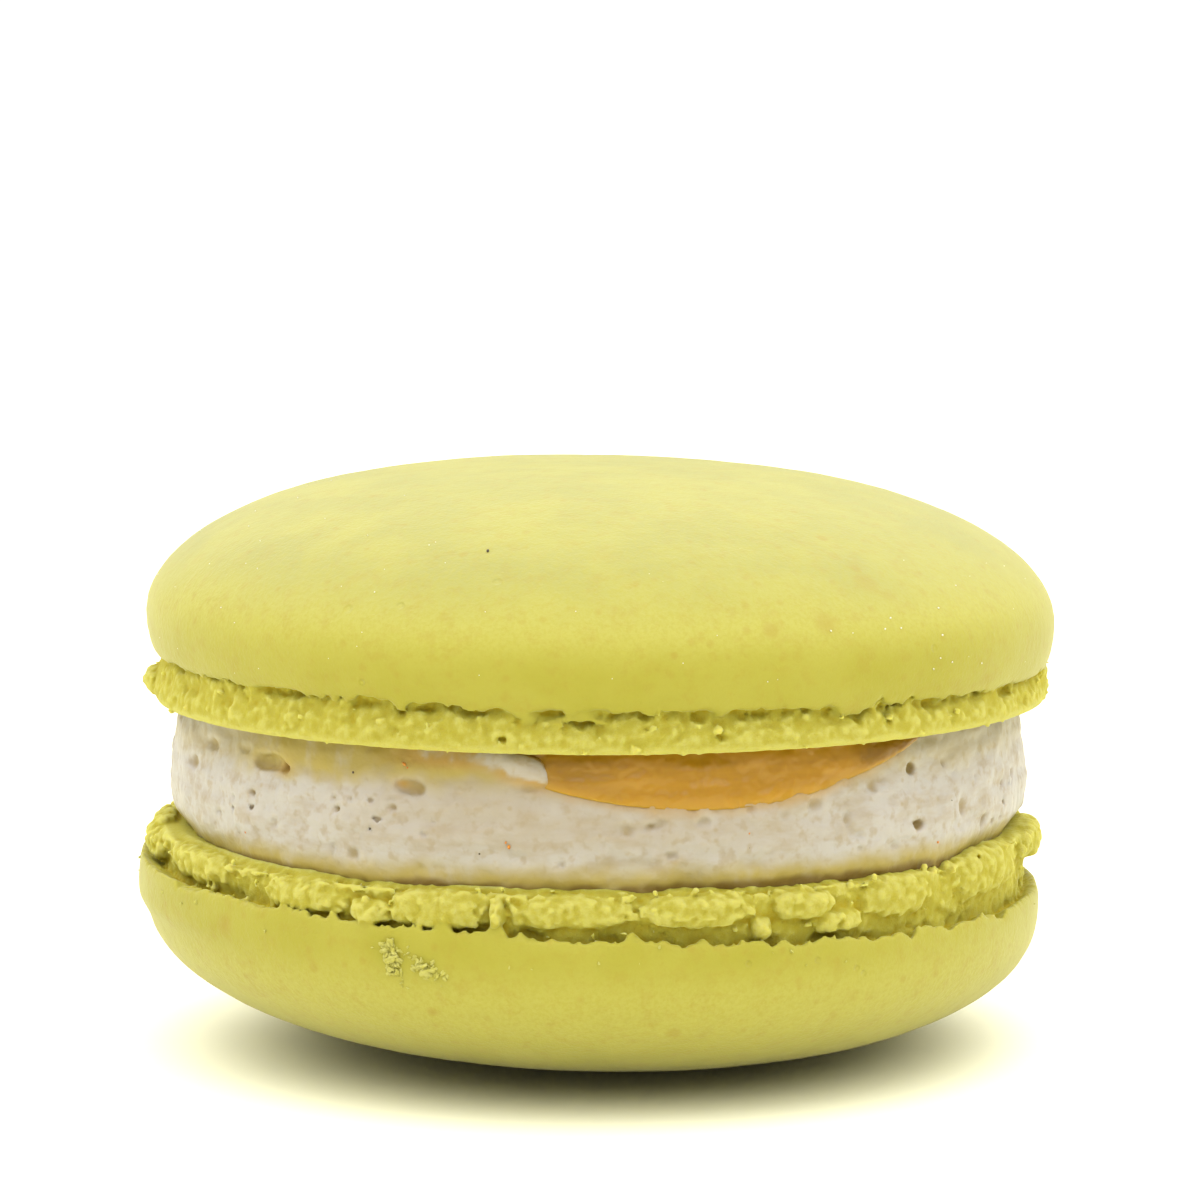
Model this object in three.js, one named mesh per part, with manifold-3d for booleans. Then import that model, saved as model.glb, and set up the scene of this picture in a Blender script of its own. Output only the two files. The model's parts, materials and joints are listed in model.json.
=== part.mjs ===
// A French macaron: two almond meringue shells with ruffled feet, the lower one turned over, and
// between them a disc of whipped buttercream with a pool of fruit curd that breaks out at the front.
//
// Units are millimetres and +Z is up. The front, where the curd shows, faces -Y. The origin is in the
// middle of the macaron's footprint, on the surface that the lower shell rests on.
import * as THREE from "three";
import { mergeVertices } from "three/addons/utils/BufferGeometryUtils.js";
import Module from "manifold-3d";

// ---- Driving dimensions ------------------------------------------------------------------------

const LOWER_TOP = 11.5; // height of the lower shell's flat side, which faces up
const FILLING_THICKNESS = 6.3;
const UPPER_BOTTOM = LOWER_TOP + FILLING_THICKNESS; // height of the upper shell's flat side
const UPPER_SHIFT = 0.39; // the upper shell sits this far to the right of the lower one
const FILLING_SHIFT = 0.22; // and the filling this far

/**
 * Both shells are described flat side down: heights run up from the flat side to the dome's top.
 * fullness holds the exponents of the dome's rounded outline, where 2 and 2 would be an ellipse.
 */
const UPPER_SHELL = {
  radius: 23,
  domeHeight: 7.61,
  widestHeight: 4.13, // of the dome's widest circle
  domeLean: -0.014, // rise for each millimetre to the right
  fullness: { across: 2.6, up: 1.96 },
  crownRadius: 5, // of the dome's last ring, round the middle of its top
  crownIsPressedFlat: false,
  footHeight: 2.0,
  footRadius: 22.55,
  footLean: -0.016,
  frillRadius: 22.6, // of the cap's torn edge, above the foot
  grooveDepth: 0.8, // how far the foot draws in under the torn edge
  crumbSize: 0.34,
  seed: 11,
};
const LOWER_SHELL = {
  radius: 22.74,
  domeHeight: 7.81,
  widestHeight: LOWER_TOP - 7.81,
  domeLean: 0,
  fullness: { across: 2.18, up: 2.35 },
  crownRadius: 6, // the spot that the macaron stands on
  crownIsPressedFlat: true,
  footHeight: 2.32,
  footRadius: 22.4,
  footLean: 0.038,
  frillRadius: 22.6,
  grooveDepth: 1.0,
  crumbSize: 0.46,
  seed: 29,
};

/** Rings of points in a shell, from its flat side up. */
const FOOT_ROWS = [0, 0.1, 0.24, 0.38, 0.52, 0.66, 0.8]; // shares of the foot's height
const FOOT_POINTS = 192;
const SKIRT_HEIGHT = 0.5; // share of the way from the torn edge to the dome's widest circle
const DOME_POINTS = [100, 100, 88, 76, 64, 48, 32];

/** The buttercream's side, from the lower shell up: share of the filling's thickness, and radius. */
const CREAM_SIDE = [
  [0, 20.9],
  [0.08, 21.35],
  [0.24, 21.7],
  [0.46, 21.75],
  [0.7, 21.5],
  [0.88, 21.3],
  [1, 21.1],
];
const CREAM_POINTS = 100;
const CREAM_LUMP = 0.16;

/**
 * The curd's dish is a bowl whose depth falls off as a parabola, level with the cream's top at its rim.
 * It is an oval in plan, bearing degrees to the right of the front, its middle outwards from the axis.
 */
const CURD_DISH = { halfLength: 20, halfWidth: 12.6, depth: 3.84, outwards: 10, bearing: 14 };
const CURD_POINTS = 56;
const CURD_ROWS = 9;
const CURD_CLEARANCE = 0.12;

// ---- Unevenness --------------------------------------------------------------------------------

/** A repeatable number from 0 to 1 for one corner of a noise lattice. */
function cornerValue(column, row, seed) {
  let hash = Math.imul(column + 1, 0x9e3779b1) ^ Math.imul(row + 7, 0x85ebca6b);
  hash ^= Math.imul(seed + 3, 0xc2b2ae35);
  hash = Math.imul(hash ^ (hash >>> 15), 0x2c1b3c6d);
  hash = Math.imul(hash ^ (hash >>> 12), 0x297a2d39);
  return ((hash ^ (hash >>> 15)) >>> 0) / 2 ** 32;
}

/**
 * Smooth noise from -1 to 1 round the macaron. turn is the share of a full turn, cells is how many
 * lumps fit round the rim, and level moves up the side by one lump for each whole number.
 */
function lumps(turn, cells, level, seed) {
  const across = turn * cells;
  const column = Math.floor(across);
  const row = Math.floor(level);
  const ease = (t) => t * t * (3 - 2 * t);
  const u = ease(across - column);
  const v = ease(level - row);
  const corner = (i, j) => cornerValue((column + i) % cells, row + j, seed);
  const low = THREE.MathUtils.lerp(corner(0, 0), corner(1, 0), u);
  const high = THREE.MathUtils.lerp(corner(0, 1), corner(1, 1), u);
  return 2 * THREE.MathUtils.lerp(low, high, v) - 1;
}

// ---- Surfaces made of rings ---------------------------------------------------------------------

/** Triangles of the band between two rings, which may have different numbers of points. */
function bandTriangles(low, high) {
  const triangles = [];
  const lowSteps = low.count > 1 ? low.count : 0;
  const highSteps = high.count > 1 ? high.count : 0;
  let i = 0;
  let j = 0;
  while (i < lowSteps || j < highSteps) {
    const a = low.first + (i % low.count);
    const b = high.first + (j % high.count);
    const lowIsBehind = i < lowSteps && (i + 0.5) / lowSteps <= (j + 0.5) / highSteps;
    if (j >= highSteps || lowIsBehind) {
      i += 1;
      triangles.push(a, low.first + (i % low.count), b);
    } else {
      j += 1;
      triangles.push(a, high.first + (j % high.count), b);
    }
  }
  return triangles;
}

/**
 * A closed surface through rings round Z, from the lowest to the highest. A ring has its number of
 * points, and place(turn), which gives the radius r and height z of the point at a share of a turn.
 * A ring of one point closes an end.
 */
function ringedGeometry(rings) {
  const positions = [];
  const triangles = [];
  let last = null;
  for (const { points, place } of rings) {
    const ring = { first: positions.length / 3, count: points };
    for (let i = 0; i < points; i += 1) {
      const turn = i / points;
      const { r, z } = place(turn);
      positions.push(r * Math.cos(turn * 2 * Math.PI), r * Math.sin(turn * 2 * Math.PI), z);
    }
    if (last) triangles.push(...bandTriangles(last, ring));
    last = ring;
  }
  const geometry = new THREE.BufferGeometry();
  geometry.setAttribute("position", new THREE.Float32BufferAttribute(positions, 3));
  geometry.setIndex(triangles);
  return geometry;
}

/** A point on the axis, which closes a surface at height z. */
function axisPoint(z) {
  return { points: 1, place: () => ({ r: 0, z }) };
}

// ---- Shells ---------------------------------------------------------------------------------------

/** The foot's height, up to the cap's torn edge, which hangs down in teeth. */
function frillHeight(shell, turn) {
  const x = shell.radius * Math.cos(turn * 2 * Math.PI);
  const teeth = 0.2 * lumps(turn, 66, 0, shell.seed) + 0.16 * lumps(turn, 25, 0, shell.seed + 1);
  return shell.footHeight + shell.footLean * x + teeth;
}

/** The crumbly face of the foot, widest near the flat side. up is a share of the foot's height. */
function footPoint(shell, up, turn) {
  const chunk = 0.6 * lumps(turn, 28, up * 1.4, shell.seed + 3);
  const crumb = 0.8 * lumps(turn, 84, up * 3.4, shell.seed + 4);
  const drawIn = up === 0 ? 0.15 : 0.4 * up ** 2;
  const r = shell.footRadius - drawIn + shell.crumbSize * (chunk + crumb);
  return { r, z: frillHeight(shell, turn) * up };
}

/** The groove under the torn edge: open pockets, with ribs of meringue left standing between them. */
function groovePoint(shell, turn) {
  const openness = 0.5 + 0.5 * lumps(turn, 44, 0, shell.seed + 2);
  const depth = shell.grooveDepth * (0.3 + openness);
  return { r: shell.frillRadius - depth, z: frillHeight(shell, turn) * 0.94 };
}

/** The cap's torn edge. */
function frillPoint(shell, turn) {
  const raggedness = 0.14 * lumps(turn, 60, 0, shell.seed + 6);
  return { r: shell.frillRadius + raggedness, z: frillHeight(shell, turn) };
}

/** A point of the dome. over runs from 0 at its widest circle to 1 at its last ring. */
function domePoint(shell, over, turn) {
  const { radius, fullness, crownRadius, crownIsPressedFlat } = shell;
  const crownAngle = Math.acos((crownRadius / radius) ** (fullness.across / 2));
  const rise = (angle) => Math.sin(angle) ** (2 / fullness.up);
  const fullRise = crownIsPressedFlat ? rise(crownAngle) : 1;
  const angle = over * crownAngle;
  const swell = 0.12 * (1 - over) * lumps(turn, 7, over * 3, shell.seed + 5);
  const r = radius * Math.cos(angle) ** (2 / fullness.across) + swell;
  const lean = shell.domeLean * r * Math.cos(turn * 2 * Math.PI);
  return { r, z: shell.widestHeight + (shell.domeHeight * rise(angle)) / fullRise + lean };
}

/** The cap's skirt, which curls in from the dome's widest circle to the torn edge. */
function skirtPoint(shell, turn) {
  const frill = frillPoint(shell, turn);
  const widest = domePoint(shell, 0, turn);
  const curl = Math.sin((SKIRT_HEIGHT * Math.PI) / 2);
  return {
    r: THREE.MathUtils.lerp(frill.r, widest.r, curl),
    z: THREE.MathUtils.lerp(frill.z, widest.z, SKIRT_HEIGHT),
  };
}

/** One baked shell, flat side down. */
function shellMesh(name, shell, material) {
  const foot = FOOT_ROWS.map((up) => ({
    points: FOOT_POINTS,
    place: (turn) => footPoint(shell, up, turn),
  }));
  const edge = [groovePoint, frillPoint, skirtPoint].map((pointAt) => ({
    points: FOOT_POINTS,
    place: (turn) => pointAt(shell, turn),
  }));
  const dome = DOME_POINTS.map((points, row) => ({
    points,
    place: (turn) => domePoint(shell, row / (DOME_POINTS.length - 1), turn),
  }));
  const top = axisPoint(shell.widestHeight + shell.domeHeight);
  const mesh = new THREE.Mesh(ringedGeometry([axisPoint(0), ...foot, ...edge, ...dome, top]));
  mesh.material = new THREE.MeshStandardMaterial(material);
  mesh.name = name;
  return mesh;
}

// ---- Filling --------------------------------------------------------------------------------------

/** The filling's outer form, buttercream and curd together, drawn in from its side by inset. */
function fillingGeometry(inset) {
  const side = CREAM_SIDE.map(([share, radius]) => ({
    points: CREAM_POINTS,
    place: (turn) => {
      const lump = lumps(turn, 34, share * 2, 53) + 0.8 * lumps(turn, 11, share * 1.2, 54);
      return { r: radius - inset + CREAM_LUMP * lump, z: share * FILLING_THICKNESS };
    },
  }));
  return ringedGeometry([axisPoint(0), ...side, axisPoint(FILLING_THICKNESS)]);
}

/** A solid whose underside is the curd's bowl, larger by clearance on every side. */
function dishGeometry(clearance) {
  const { halfWidth, halfLength, depth, outwards, bearing } = CURD_DISH;
  const bowl = [new THREE.Vector2(0, -depth)];
  for (let row = 1; row <= CURD_ROWS; row += 1) {
    const share = row / CURD_ROWS;
    bowl.push(new THREE.Vector2(share, depth * (share ** 2 - 1)));
  }
  bowl.push(new THREE.Vector2(1, depth), new THREE.Vector2(0, depth));
  const dish = new THREE.LatheGeometry(bowl, CURD_POINTS);
  dish.rotateX(Math.PI / 2);
  dish.scale(halfWidth + clearance, halfLength + clearance, 1);
  dish.translate(0, -outwards, FILLING_THICKNESS - clearance);
  dish.rotateZ(THREE.MathUtils.degToRad(bearing));
  dish.deleteAttribute("normal");
  dish.deleteAttribute("uv");
  return mergeVertices(dish, 1e-4);
}

/** A manifold-3d solid with the geometry's vertices and triangles. */
function toSolid(wasm, geometry) {
  const vertProperties = new Float32Array(geometry.getAttribute("position").array);
  const triVerts = new Uint32Array(geometry.getIndex().array);
  return new wasm.Manifold(new wasm.Mesh({ numProp: 3, vertProperties, triVerts }));
}

/** A mesh of a manifold-3d solid, whose vertices hold nothing but their positions. */
function solidMesh(name, solid, material) {
  const { vertProperties, triVerts } = solid.getMesh();
  const geometry = new THREE.BufferGeometry();
  geometry.setAttribute("position", new THREE.BufferAttribute(vertProperties, 3));
  geometry.setIndex(new THREE.BufferAttribute(triVerts, 1));
  const mesh = new THREE.Mesh(geometry, new THREE.MeshStandardMaterial(material));
  mesh.name = name;
  return mesh;
}

/** The buttercream with the curd's dish scooped out of it, and the curd that fills the dish. */
function fillingMeshes(wasm) {
  const whole = toSolid(wasm, fillingGeometry(0));
  const scoop = toSolid(wasm, dishGeometry(CURD_CLEARANCE));
  const drawnIn = toSolid(wasm, fillingGeometry(CURD_CLEARANCE));
  const dish = toSolid(wasm, dishGeometry(0));
  const cream = { color: 0xd6caae, roughness: 0.55, metalness: 0 };
  const curd = { color: 0xbe8c34, roughness: 0.35, metalness: 0 };
  return [
    solidMesh("buttercream", whole.subtract(scoop), cream),
    solidMesh("fruit_curd", drawnIn.intersect(dish), curd),
  ];
}

// ---- Assembly -------------------------------------------------------------------------------------

/** Moves the group sideways, so that its bounding box stands centred on the origin. */
function centreOnFootprint(group) {
  const middle = new THREE.Box3().setFromObject(group, true).getCenter(new THREE.Vector3());
  group.position.set(-middle.x, -middle.y, 0);
}

const wasm = await Module();
wasm.setup();

const almondShell = { color: 0xd7d065, roughness: 0.8, metalness: 0 };
const upper = shellMesh("shell_upper", UPPER_SHELL, almondShell);
upper.position.set(UPPER_SHIFT, 0, UPPER_BOTTOM);

const lower = shellMesh("shell_lower", LOWER_SHELL, almondShell);
lower.rotation.x = Math.PI;
lower.position.z = LOWER_TOP;

const filling = new THREE.Group();
filling.position.set(FILLING_SHIFT, 0, LOWER_TOP);
filling.add(...fillingMeshes(wasm));

const macaron = new THREE.Group();
macaron.add(lower, filling, upper);
centreOnFootprint(macaron);

export default macaron;
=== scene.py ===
"""A French macaron: two almond meringue shells, whipped buttercream and a pool of fruit curd.

Lengths are millimetres, apart from those of the camera, the lights and the floor, which are metres.
+Z is up, and the front, where the curd shows, faces -Y. A bearing is an angle seen from above, in
degrees to the right of the front. A shell is described as it is baked, flat side down, with heights
that run up from its flat side; the lower shell is then turned over.
"""

import json
import logging
import math
from dataclasses import dataclass
from enum import Enum
from itertools import product
from typing import Any, Sequence

import bmesh
import bpy
import numpy as np
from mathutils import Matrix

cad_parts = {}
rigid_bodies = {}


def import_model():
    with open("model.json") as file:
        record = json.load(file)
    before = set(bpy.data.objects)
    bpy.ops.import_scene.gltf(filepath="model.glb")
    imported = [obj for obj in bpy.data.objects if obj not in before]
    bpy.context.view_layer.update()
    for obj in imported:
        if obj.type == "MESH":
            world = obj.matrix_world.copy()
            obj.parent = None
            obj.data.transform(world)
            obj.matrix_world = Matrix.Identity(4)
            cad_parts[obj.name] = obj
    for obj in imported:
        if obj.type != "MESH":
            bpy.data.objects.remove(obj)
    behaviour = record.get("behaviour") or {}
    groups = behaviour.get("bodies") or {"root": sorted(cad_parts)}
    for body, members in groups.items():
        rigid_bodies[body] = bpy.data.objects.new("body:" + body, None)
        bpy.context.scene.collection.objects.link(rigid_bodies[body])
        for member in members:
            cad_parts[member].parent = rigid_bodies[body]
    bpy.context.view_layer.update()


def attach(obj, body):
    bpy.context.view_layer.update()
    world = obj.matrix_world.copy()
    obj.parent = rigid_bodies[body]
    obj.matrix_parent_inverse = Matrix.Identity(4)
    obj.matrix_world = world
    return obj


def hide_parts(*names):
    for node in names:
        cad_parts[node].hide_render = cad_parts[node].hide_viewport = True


Array = np.ndarray
Colour = tuple[float, float, float, float]

METRES = 0.001  # in a millimetre
FULL_TURN = 2 * math.pi
LOG = logging.getLogger("macaron")


# ---- Small helpers ------------------------------------------------------------------------------


def ease(share: Array) -> Array:
    """A smooth step from 0 to 1 as share goes from 0 to 1."""
    share = np.clip(share, 0, 1)
    return share * share * (3 - 2 * share)


def wrapped(angle: Array) -> Array:
    """The same angles, from minus half a turn to half a turn."""
    return (angle + math.pi) % FULL_TURN - math.pi


def blend_max(first: Array, second: Array, softness: float) -> Array:
    """The larger of two fields, with the crease between them filled.

    Args:
        first: One field.
        second: The other field.
        softness: How far apart the fields still melt together, in mm.

    Returns:
        The joined field.
    """
    share = np.clip(0.5 + (first - second) / (2 * softness), 0, 1)
    return second + (first - second) * share + softness * share * (1 - share)


def circular(angles: Array, radius: float | Array, height: float | Array) -> Array:
    """Points at angles round Z, at a radius and a height each."""
    radius, height = np.broadcast_to(radius, angles.shape), np.broadcast_to(height, angles.shape)
    return np.stack((radius * np.cos(angles), radius * np.sin(angles), height), axis=-1)


def even_turns(count: int) -> Array:
    """The angles of points that are evenly apart on a circle."""
    return np.arange(count) * FULL_TURN / count


def bearings(x: Array, y: Array) -> Array:
    """The bearings of places, in degrees."""
    return np.degrees(wrapped(np.arctan2(y, x) + math.pi / 2))


class Noise:
    """Smooth gradient noise in space, which is the same on every run for one seed."""

    CORNERS = 256
    GAIN = 1.8  # brings the noise close to -1 and 1
    USUAL_PUFF = 0.6  # about how high a puff of strength 1 is on average

    def __init__(self, seed: int) -> None:
        """Draws the lattice's slopes.

        Args:
            seed: Which noise this is.
        """
        draw = np.random.default_rng(seed)
        self.order = np.tile(draw.permutation(self.CORNERS), 2)
        slopes = draw.normal(size=(self.CORNERS, 3))
        slopes /= np.linalg.norm(slopes, axis=1, keepdims=True)
        self.slopes = slopes.astype(np.float32)

    def __call__(self, points: Array, size: float | Sequence[float]) -> Array:
        """Noise at points.

        Args:
            points: Places in mm, with x, y and z along the last axis.
            size: Size of a lump in mm, or one size for each axis.

        Returns:
            A number from about -1 to 1 for each point.
        """
        scaled = (points / np.asarray(size, np.float32)).astype(np.float32)
        corner = np.floor(scaled)
        within = scaled - corner
        column, row, layer = np.moveaxis(corner.astype(np.int64) % self.CORNERS, -1, 0)
        share = within**3 * (within * (within * 6 - 15) + 10)
        total = np.zeros(points.shape[:-1], np.float32)
        for step in product((0, 1), repeat=3):
            index = self.order[self.order[column + step[0]] + row + step[1]] + layer + step[2]
            reach = within - np.array(step, np.float32)
            push = np.einsum("...i,...i", self.slopes[self.order[index]], reach)
            weight = np.ones_like(total)
            for axis, side in enumerate(step):
                weight *= share[..., axis] if side else 1 - share[..., axis]
            total += weight * push
        return total * self.GAIN

    def lumps(self, points: Array, layers: Sequence[tuple[float, float]]) -> Array:
        """A sum of noises, given as (size, strength) pairs."""
        return sum(strength * self(points, size) for size, strength in layers)

    def puffs(self, points: Array, layers: Sequence[tuple[float, float]]) -> Array:
        """A sum of rounded puffs with sharp creases between, given as (size, strength) pairs."""
        return sum(
            strength * (2 * np.abs(self(points, size)) - self.USUAL_PUFF)
            for size, strength in layers
        )


# ---- Surfaces ------------------------------------------------------------------------------------


@dataclass(frozen=True)
class Loop:
    """A closed line of a surface's points, in the order of their turns round Z."""

    ids: Array
    turns: Array

    @staticmethod
    def sorted_round(ids: Array, points: Array) -> "Loop":
        """Starts a closed line near angle 0 and makes it run anticlockwise.

        Args:
            ids: Numbers of the points, in order along the line.
            points: All points of the surface.

        Returns:
            The loop.
        """
        angles = np.arctan2(points[ids, 1], points[ids, 0])
        if wrapped(np.roll(angles, -1) - angles).sum() < 0:
            ids, angles = ids[::-1], angles[::-1]
        start = int(np.argmin(np.abs(angles)))
        ids, angles = np.roll(ids, -start), np.roll(angles, -start)
        steps = np.concatenate(((angles[0],), wrapped(np.diff(angles))))
        return Loop(ids, np.maximum.accumulate(np.cumsum(steps)))


class Surface:
    """A closed surface while it is being made: its points in mm, and its faces."""

    def __init__(self) -> None:
        """Starts with no points and no faces."""
        self.points = np.zeros((0, 3))
        self.faces: list[Array] = []

    def add(self, points: Array) -> Array:
        """Adds points and returns their numbers."""
        first = len(self.points)
        self.points = np.concatenate((self.points, points))
        return np.arange(first, len(self.points))

    def ring(self, angles: Array, radius: float | Array, height: float | Array) -> Loop:
        """Adds one ring of points round Z.

        Args:
            angles: The points' angles, anticlockwise.
            radius: Their distance from Z, in mm.
            height: Their height, in mm.

        Returns:
            The ring.
        """
        return Loop.sorted_round(self.add(circular(angles, radius, height)), self.points)

    def band(self, low: Loop, high: Loop) -> None:
        """Adds the triangles between two loops, which face out when the high one is above.

        Args:
            low: The loop that comes first along the profile.
            high: The loop that comes next.
        """
        steps = []
        for loop in (low, high):
            ends = np.append(loop.turns[1:], loop.turns[0] + FULL_TURN)
            steps.append((loop.turns + ends) / 2)
        low_steps, high_steps = len(low.ids), len(high.ids)
        order = np.argsort(np.concatenate(steps), kind="stable")
        is_low = order < low_steps
        behind = np.cumsum(is_low) - is_low
        ahead = np.cumsum(~is_low) - ~is_low
        near = low.ids[behind % low_steps]
        far = high.ids[ahead % high_steps]
        next_near = low.ids[(behind + 1) % low_steps]
        next_far = high.ids[(ahead + 1) % high_steps]
        self.faces.append(np.stack((near, np.where(is_low, next_near, next_far), far), axis=1))

    def grow(
        self, last: Loop, angles: Array, radius: float | Array, height: float | Array
    ) -> Loop:
        """Adds the ring that comes next along the profile, and the band that leads to it.

        Args:
            last: The loop before it.
            angles: The points' angles, anticlockwise.
            radius: Their distance from Z, in mm.
            height: Their height, in mm.

        Returns:
            The ring.
        """
        ring = self.ring(angles, radius, height)
        self.band(last, ring)
        return ring

    def close_below(
        self,
        rings: Sequence[tuple[Array, float, float | Array]],
        centre: Sequence[float],
        rim: Loop,
    ) -> None:
        """Closes the surface below, from a point out to the lower rim.

        Args:
            rings: The angles, radius and height of each ring on the way, the inner one first.
            centre: The point, in mm.
            rim: The lower rim.
        """
        last = self.ring(*rings[0])
        self.close(last, centre, ends_it=False)
        for ring in rings[1:]:
            last = self.grow(last, *ring)
        self.band(last, rim)

    def close(self, loop: Loop, centre: Sequence[float], ends_it: bool) -> None:
        """Closes the surface between a loop and one point.

        Args:
            loop: The open loop.
            centre: The point, in mm.
            ends_it: Whether the point comes last along the profile, and not first.
        """
        tip = self.add(np.asarray(centre, float)[None])[0]
        near, far = loop.ids, np.roll(loop.ids, -1)
        if not ends_it:
            near, far = far, near
        self.faces.append(np.stack((near, far, np.full_like(near, tip)), axis=1))

    def crease(self, reach: int) -> Array:
        """How far each point lies below its surroundings.

        Args:
            reach: How far the surroundings go, in steps along the faces' edges.

        Returns:
            The depths in mm, which are below zero where the surface stands out.
        """
        count = len(self.points)
        normals = np.zeros((count, 3))
        ends = []
        for face in self.faces:
            corners = self.points[face]
            across = np.cross(corners[:, 2] - corners[:, 0], corners[:, -1] - corners[:, 1])
            for number, corner in enumerate(face.T):
                ends.append(np.stack((corner, np.roll(face, -1, axis=1)[:, number])))
                for axis in range(3):
                    normals[:, axis] += np.bincount(corner, across[:, axis], count)
        normals /= np.maximum(np.linalg.norm(normals, axis=1, keepdims=True), 1e-12)
        near, far = np.concatenate(ends, axis=1)
        near, far = np.concatenate((near, far)), np.concatenate((far, near))
        share = 1 / np.maximum(np.bincount(near, minlength=count), 1)
        evened = self.points
        for _ in range(reach):
            sums = [np.bincount(near, evened[far, axis], count) for axis in range(3)]
            evened = np.stack(sums, axis=1) * share[:, None]
        return ((evened - self.points) * normals).sum(axis=1)

    def mesh(self, name: str, measures: dict[str, Array]) -> bpy.types.Object:
        """Makes the piece.

        Args:
            name: The piece's name.
            measures: Numbers for each point that the finish reads.

        Returns:
            The object, in metres and smooth.
        """
        mesh = bpy.data.meshes.new(name)
        faces = [face for group in self.faces for face in group.tolist()]
        mesh.from_pydata((self.points * METRES).tolist(), [], faces)
        for label, values in measures.items():
            layer = mesh.attributes.new(label, "FLOAT", "POINT")
            layer.data.foreach_set("value", np.asarray(values, np.float32))
        mesh.polygons.foreach_set("use_smooth", np.ones(len(mesh.polygons), bool))
        mesh.validate()
        mesh.update()
        piece = bpy.data.objects.new(name, mesh)
        bpy.context.scene.collection.objects.link(piece)
        return piece


@dataclass(frozen=True)
class RingGrid:
    """A lattice of sample points on circles round Z, at even radii and heights."""

    inner: float
    outer: float
    low: float
    high: float
    spacing: float
    turns: int

    @property
    def radii(self) -> Array:
        """The circles' radii."""
        return np.arange(self.inner, self.outer, self.spacing, dtype=np.float32)

    @property
    def heights(self) -> Array:
        """The circles' heights, which end at the high one."""
        steps = round((self.high - self.low) / self.spacing)
        return np.linspace(self.low, self.high, steps + 1, dtype=np.float32)

    @property
    def angles(self) -> Array:
        """The angles of the samples on each circle."""
        return np.arange(self.turns, dtype=np.float32) * np.float32(FULL_TURN / self.turns)

    def points(self) -> Array:
        """The samples' places, by angle, radius and height."""
        angle, radius, height = np.meshgrid(
            self.angles, self.radii, self.heights, indexing="ij"
        )
        return circular(angle, radius, height).astype(np.float32)


@dataclass(frozen=True)
class Spot:
    """A lump or a hollow in a side: its middle, and its half sizes."""

    bearing: float
    height: float
    across: float  # along the rim
    up: float
    out: float  # along the radius
    radius: float  # of its middle
    squareness: float = 2.0  # 2 makes an ellipsoid, and more makes a rounded block


class Dough:
    """Stuff on a ring grid: above zero inside it, and nearly a distance in mm from its surface."""

    def __init__(self, grid: RingGrid, amounts: Array) -> None:
        """Takes the stuff as it is before anything is added or scooped out.

        Args:
            grid: Where the samples are.
            amounts: The field, by angle, radius and height.
        """
        self.grid = grid
        self.amounts = amounts

    def _around(self, spot: Spot, angle: float) -> tuple[Array, Array]:
        """The samples near a spot.

        Args:
            spot: The spot.
            angle: Its angle on the grid.

        Returns:
            The numbers of the grid's angles, and how deep each sample there is inside the spot.
        """
        side = wrapped(self.grid.angles - angle) * spot.radius
        near = np.nonzero(np.abs(side) < 1.6 * spot.across)[0]
        shares = (
            (side[near] / spot.across)[:, None, None],
            ((self.grid.radii - spot.radius) / spot.out)[None, :, None],
            ((self.grid.heights - spot.height) / spot.up)[None, None, :],
        )
        power = spot.squareness
        reach = sum(np.abs(share) ** power for share in shares) ** (1 / power)
        return near, (1 - reach) * min(spot.across, spot.up, spot.out)

    def add(self, spot: Spot, angle: float, roughness: Array, softness: float = 0.12) -> None:
        """Adds a lump.

        Args:
            spot: The lump.
            angle: Its angle on the grid.
            roughness: How far its surface stands out at each sample of the grid, in mm.
            softness: How wide it melts into what is there, in mm.
        """
        near, lump = self._around(spot, angle)
        self.amounts[near] = blend_max(self.amounts[near], lump + roughness[near], softness)

    def scoop(self, spot: Spot, angle: float, roughness: Array, softness: float = 0.08) -> None:
        """Takes out a hollow, with what add takes."""
        near, hollow = self._around(spot, angle)
        rest = blend_max(-self.amounts[near], hollow + roughness[near], softness)
        self.amounts[near] = -rest


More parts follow.
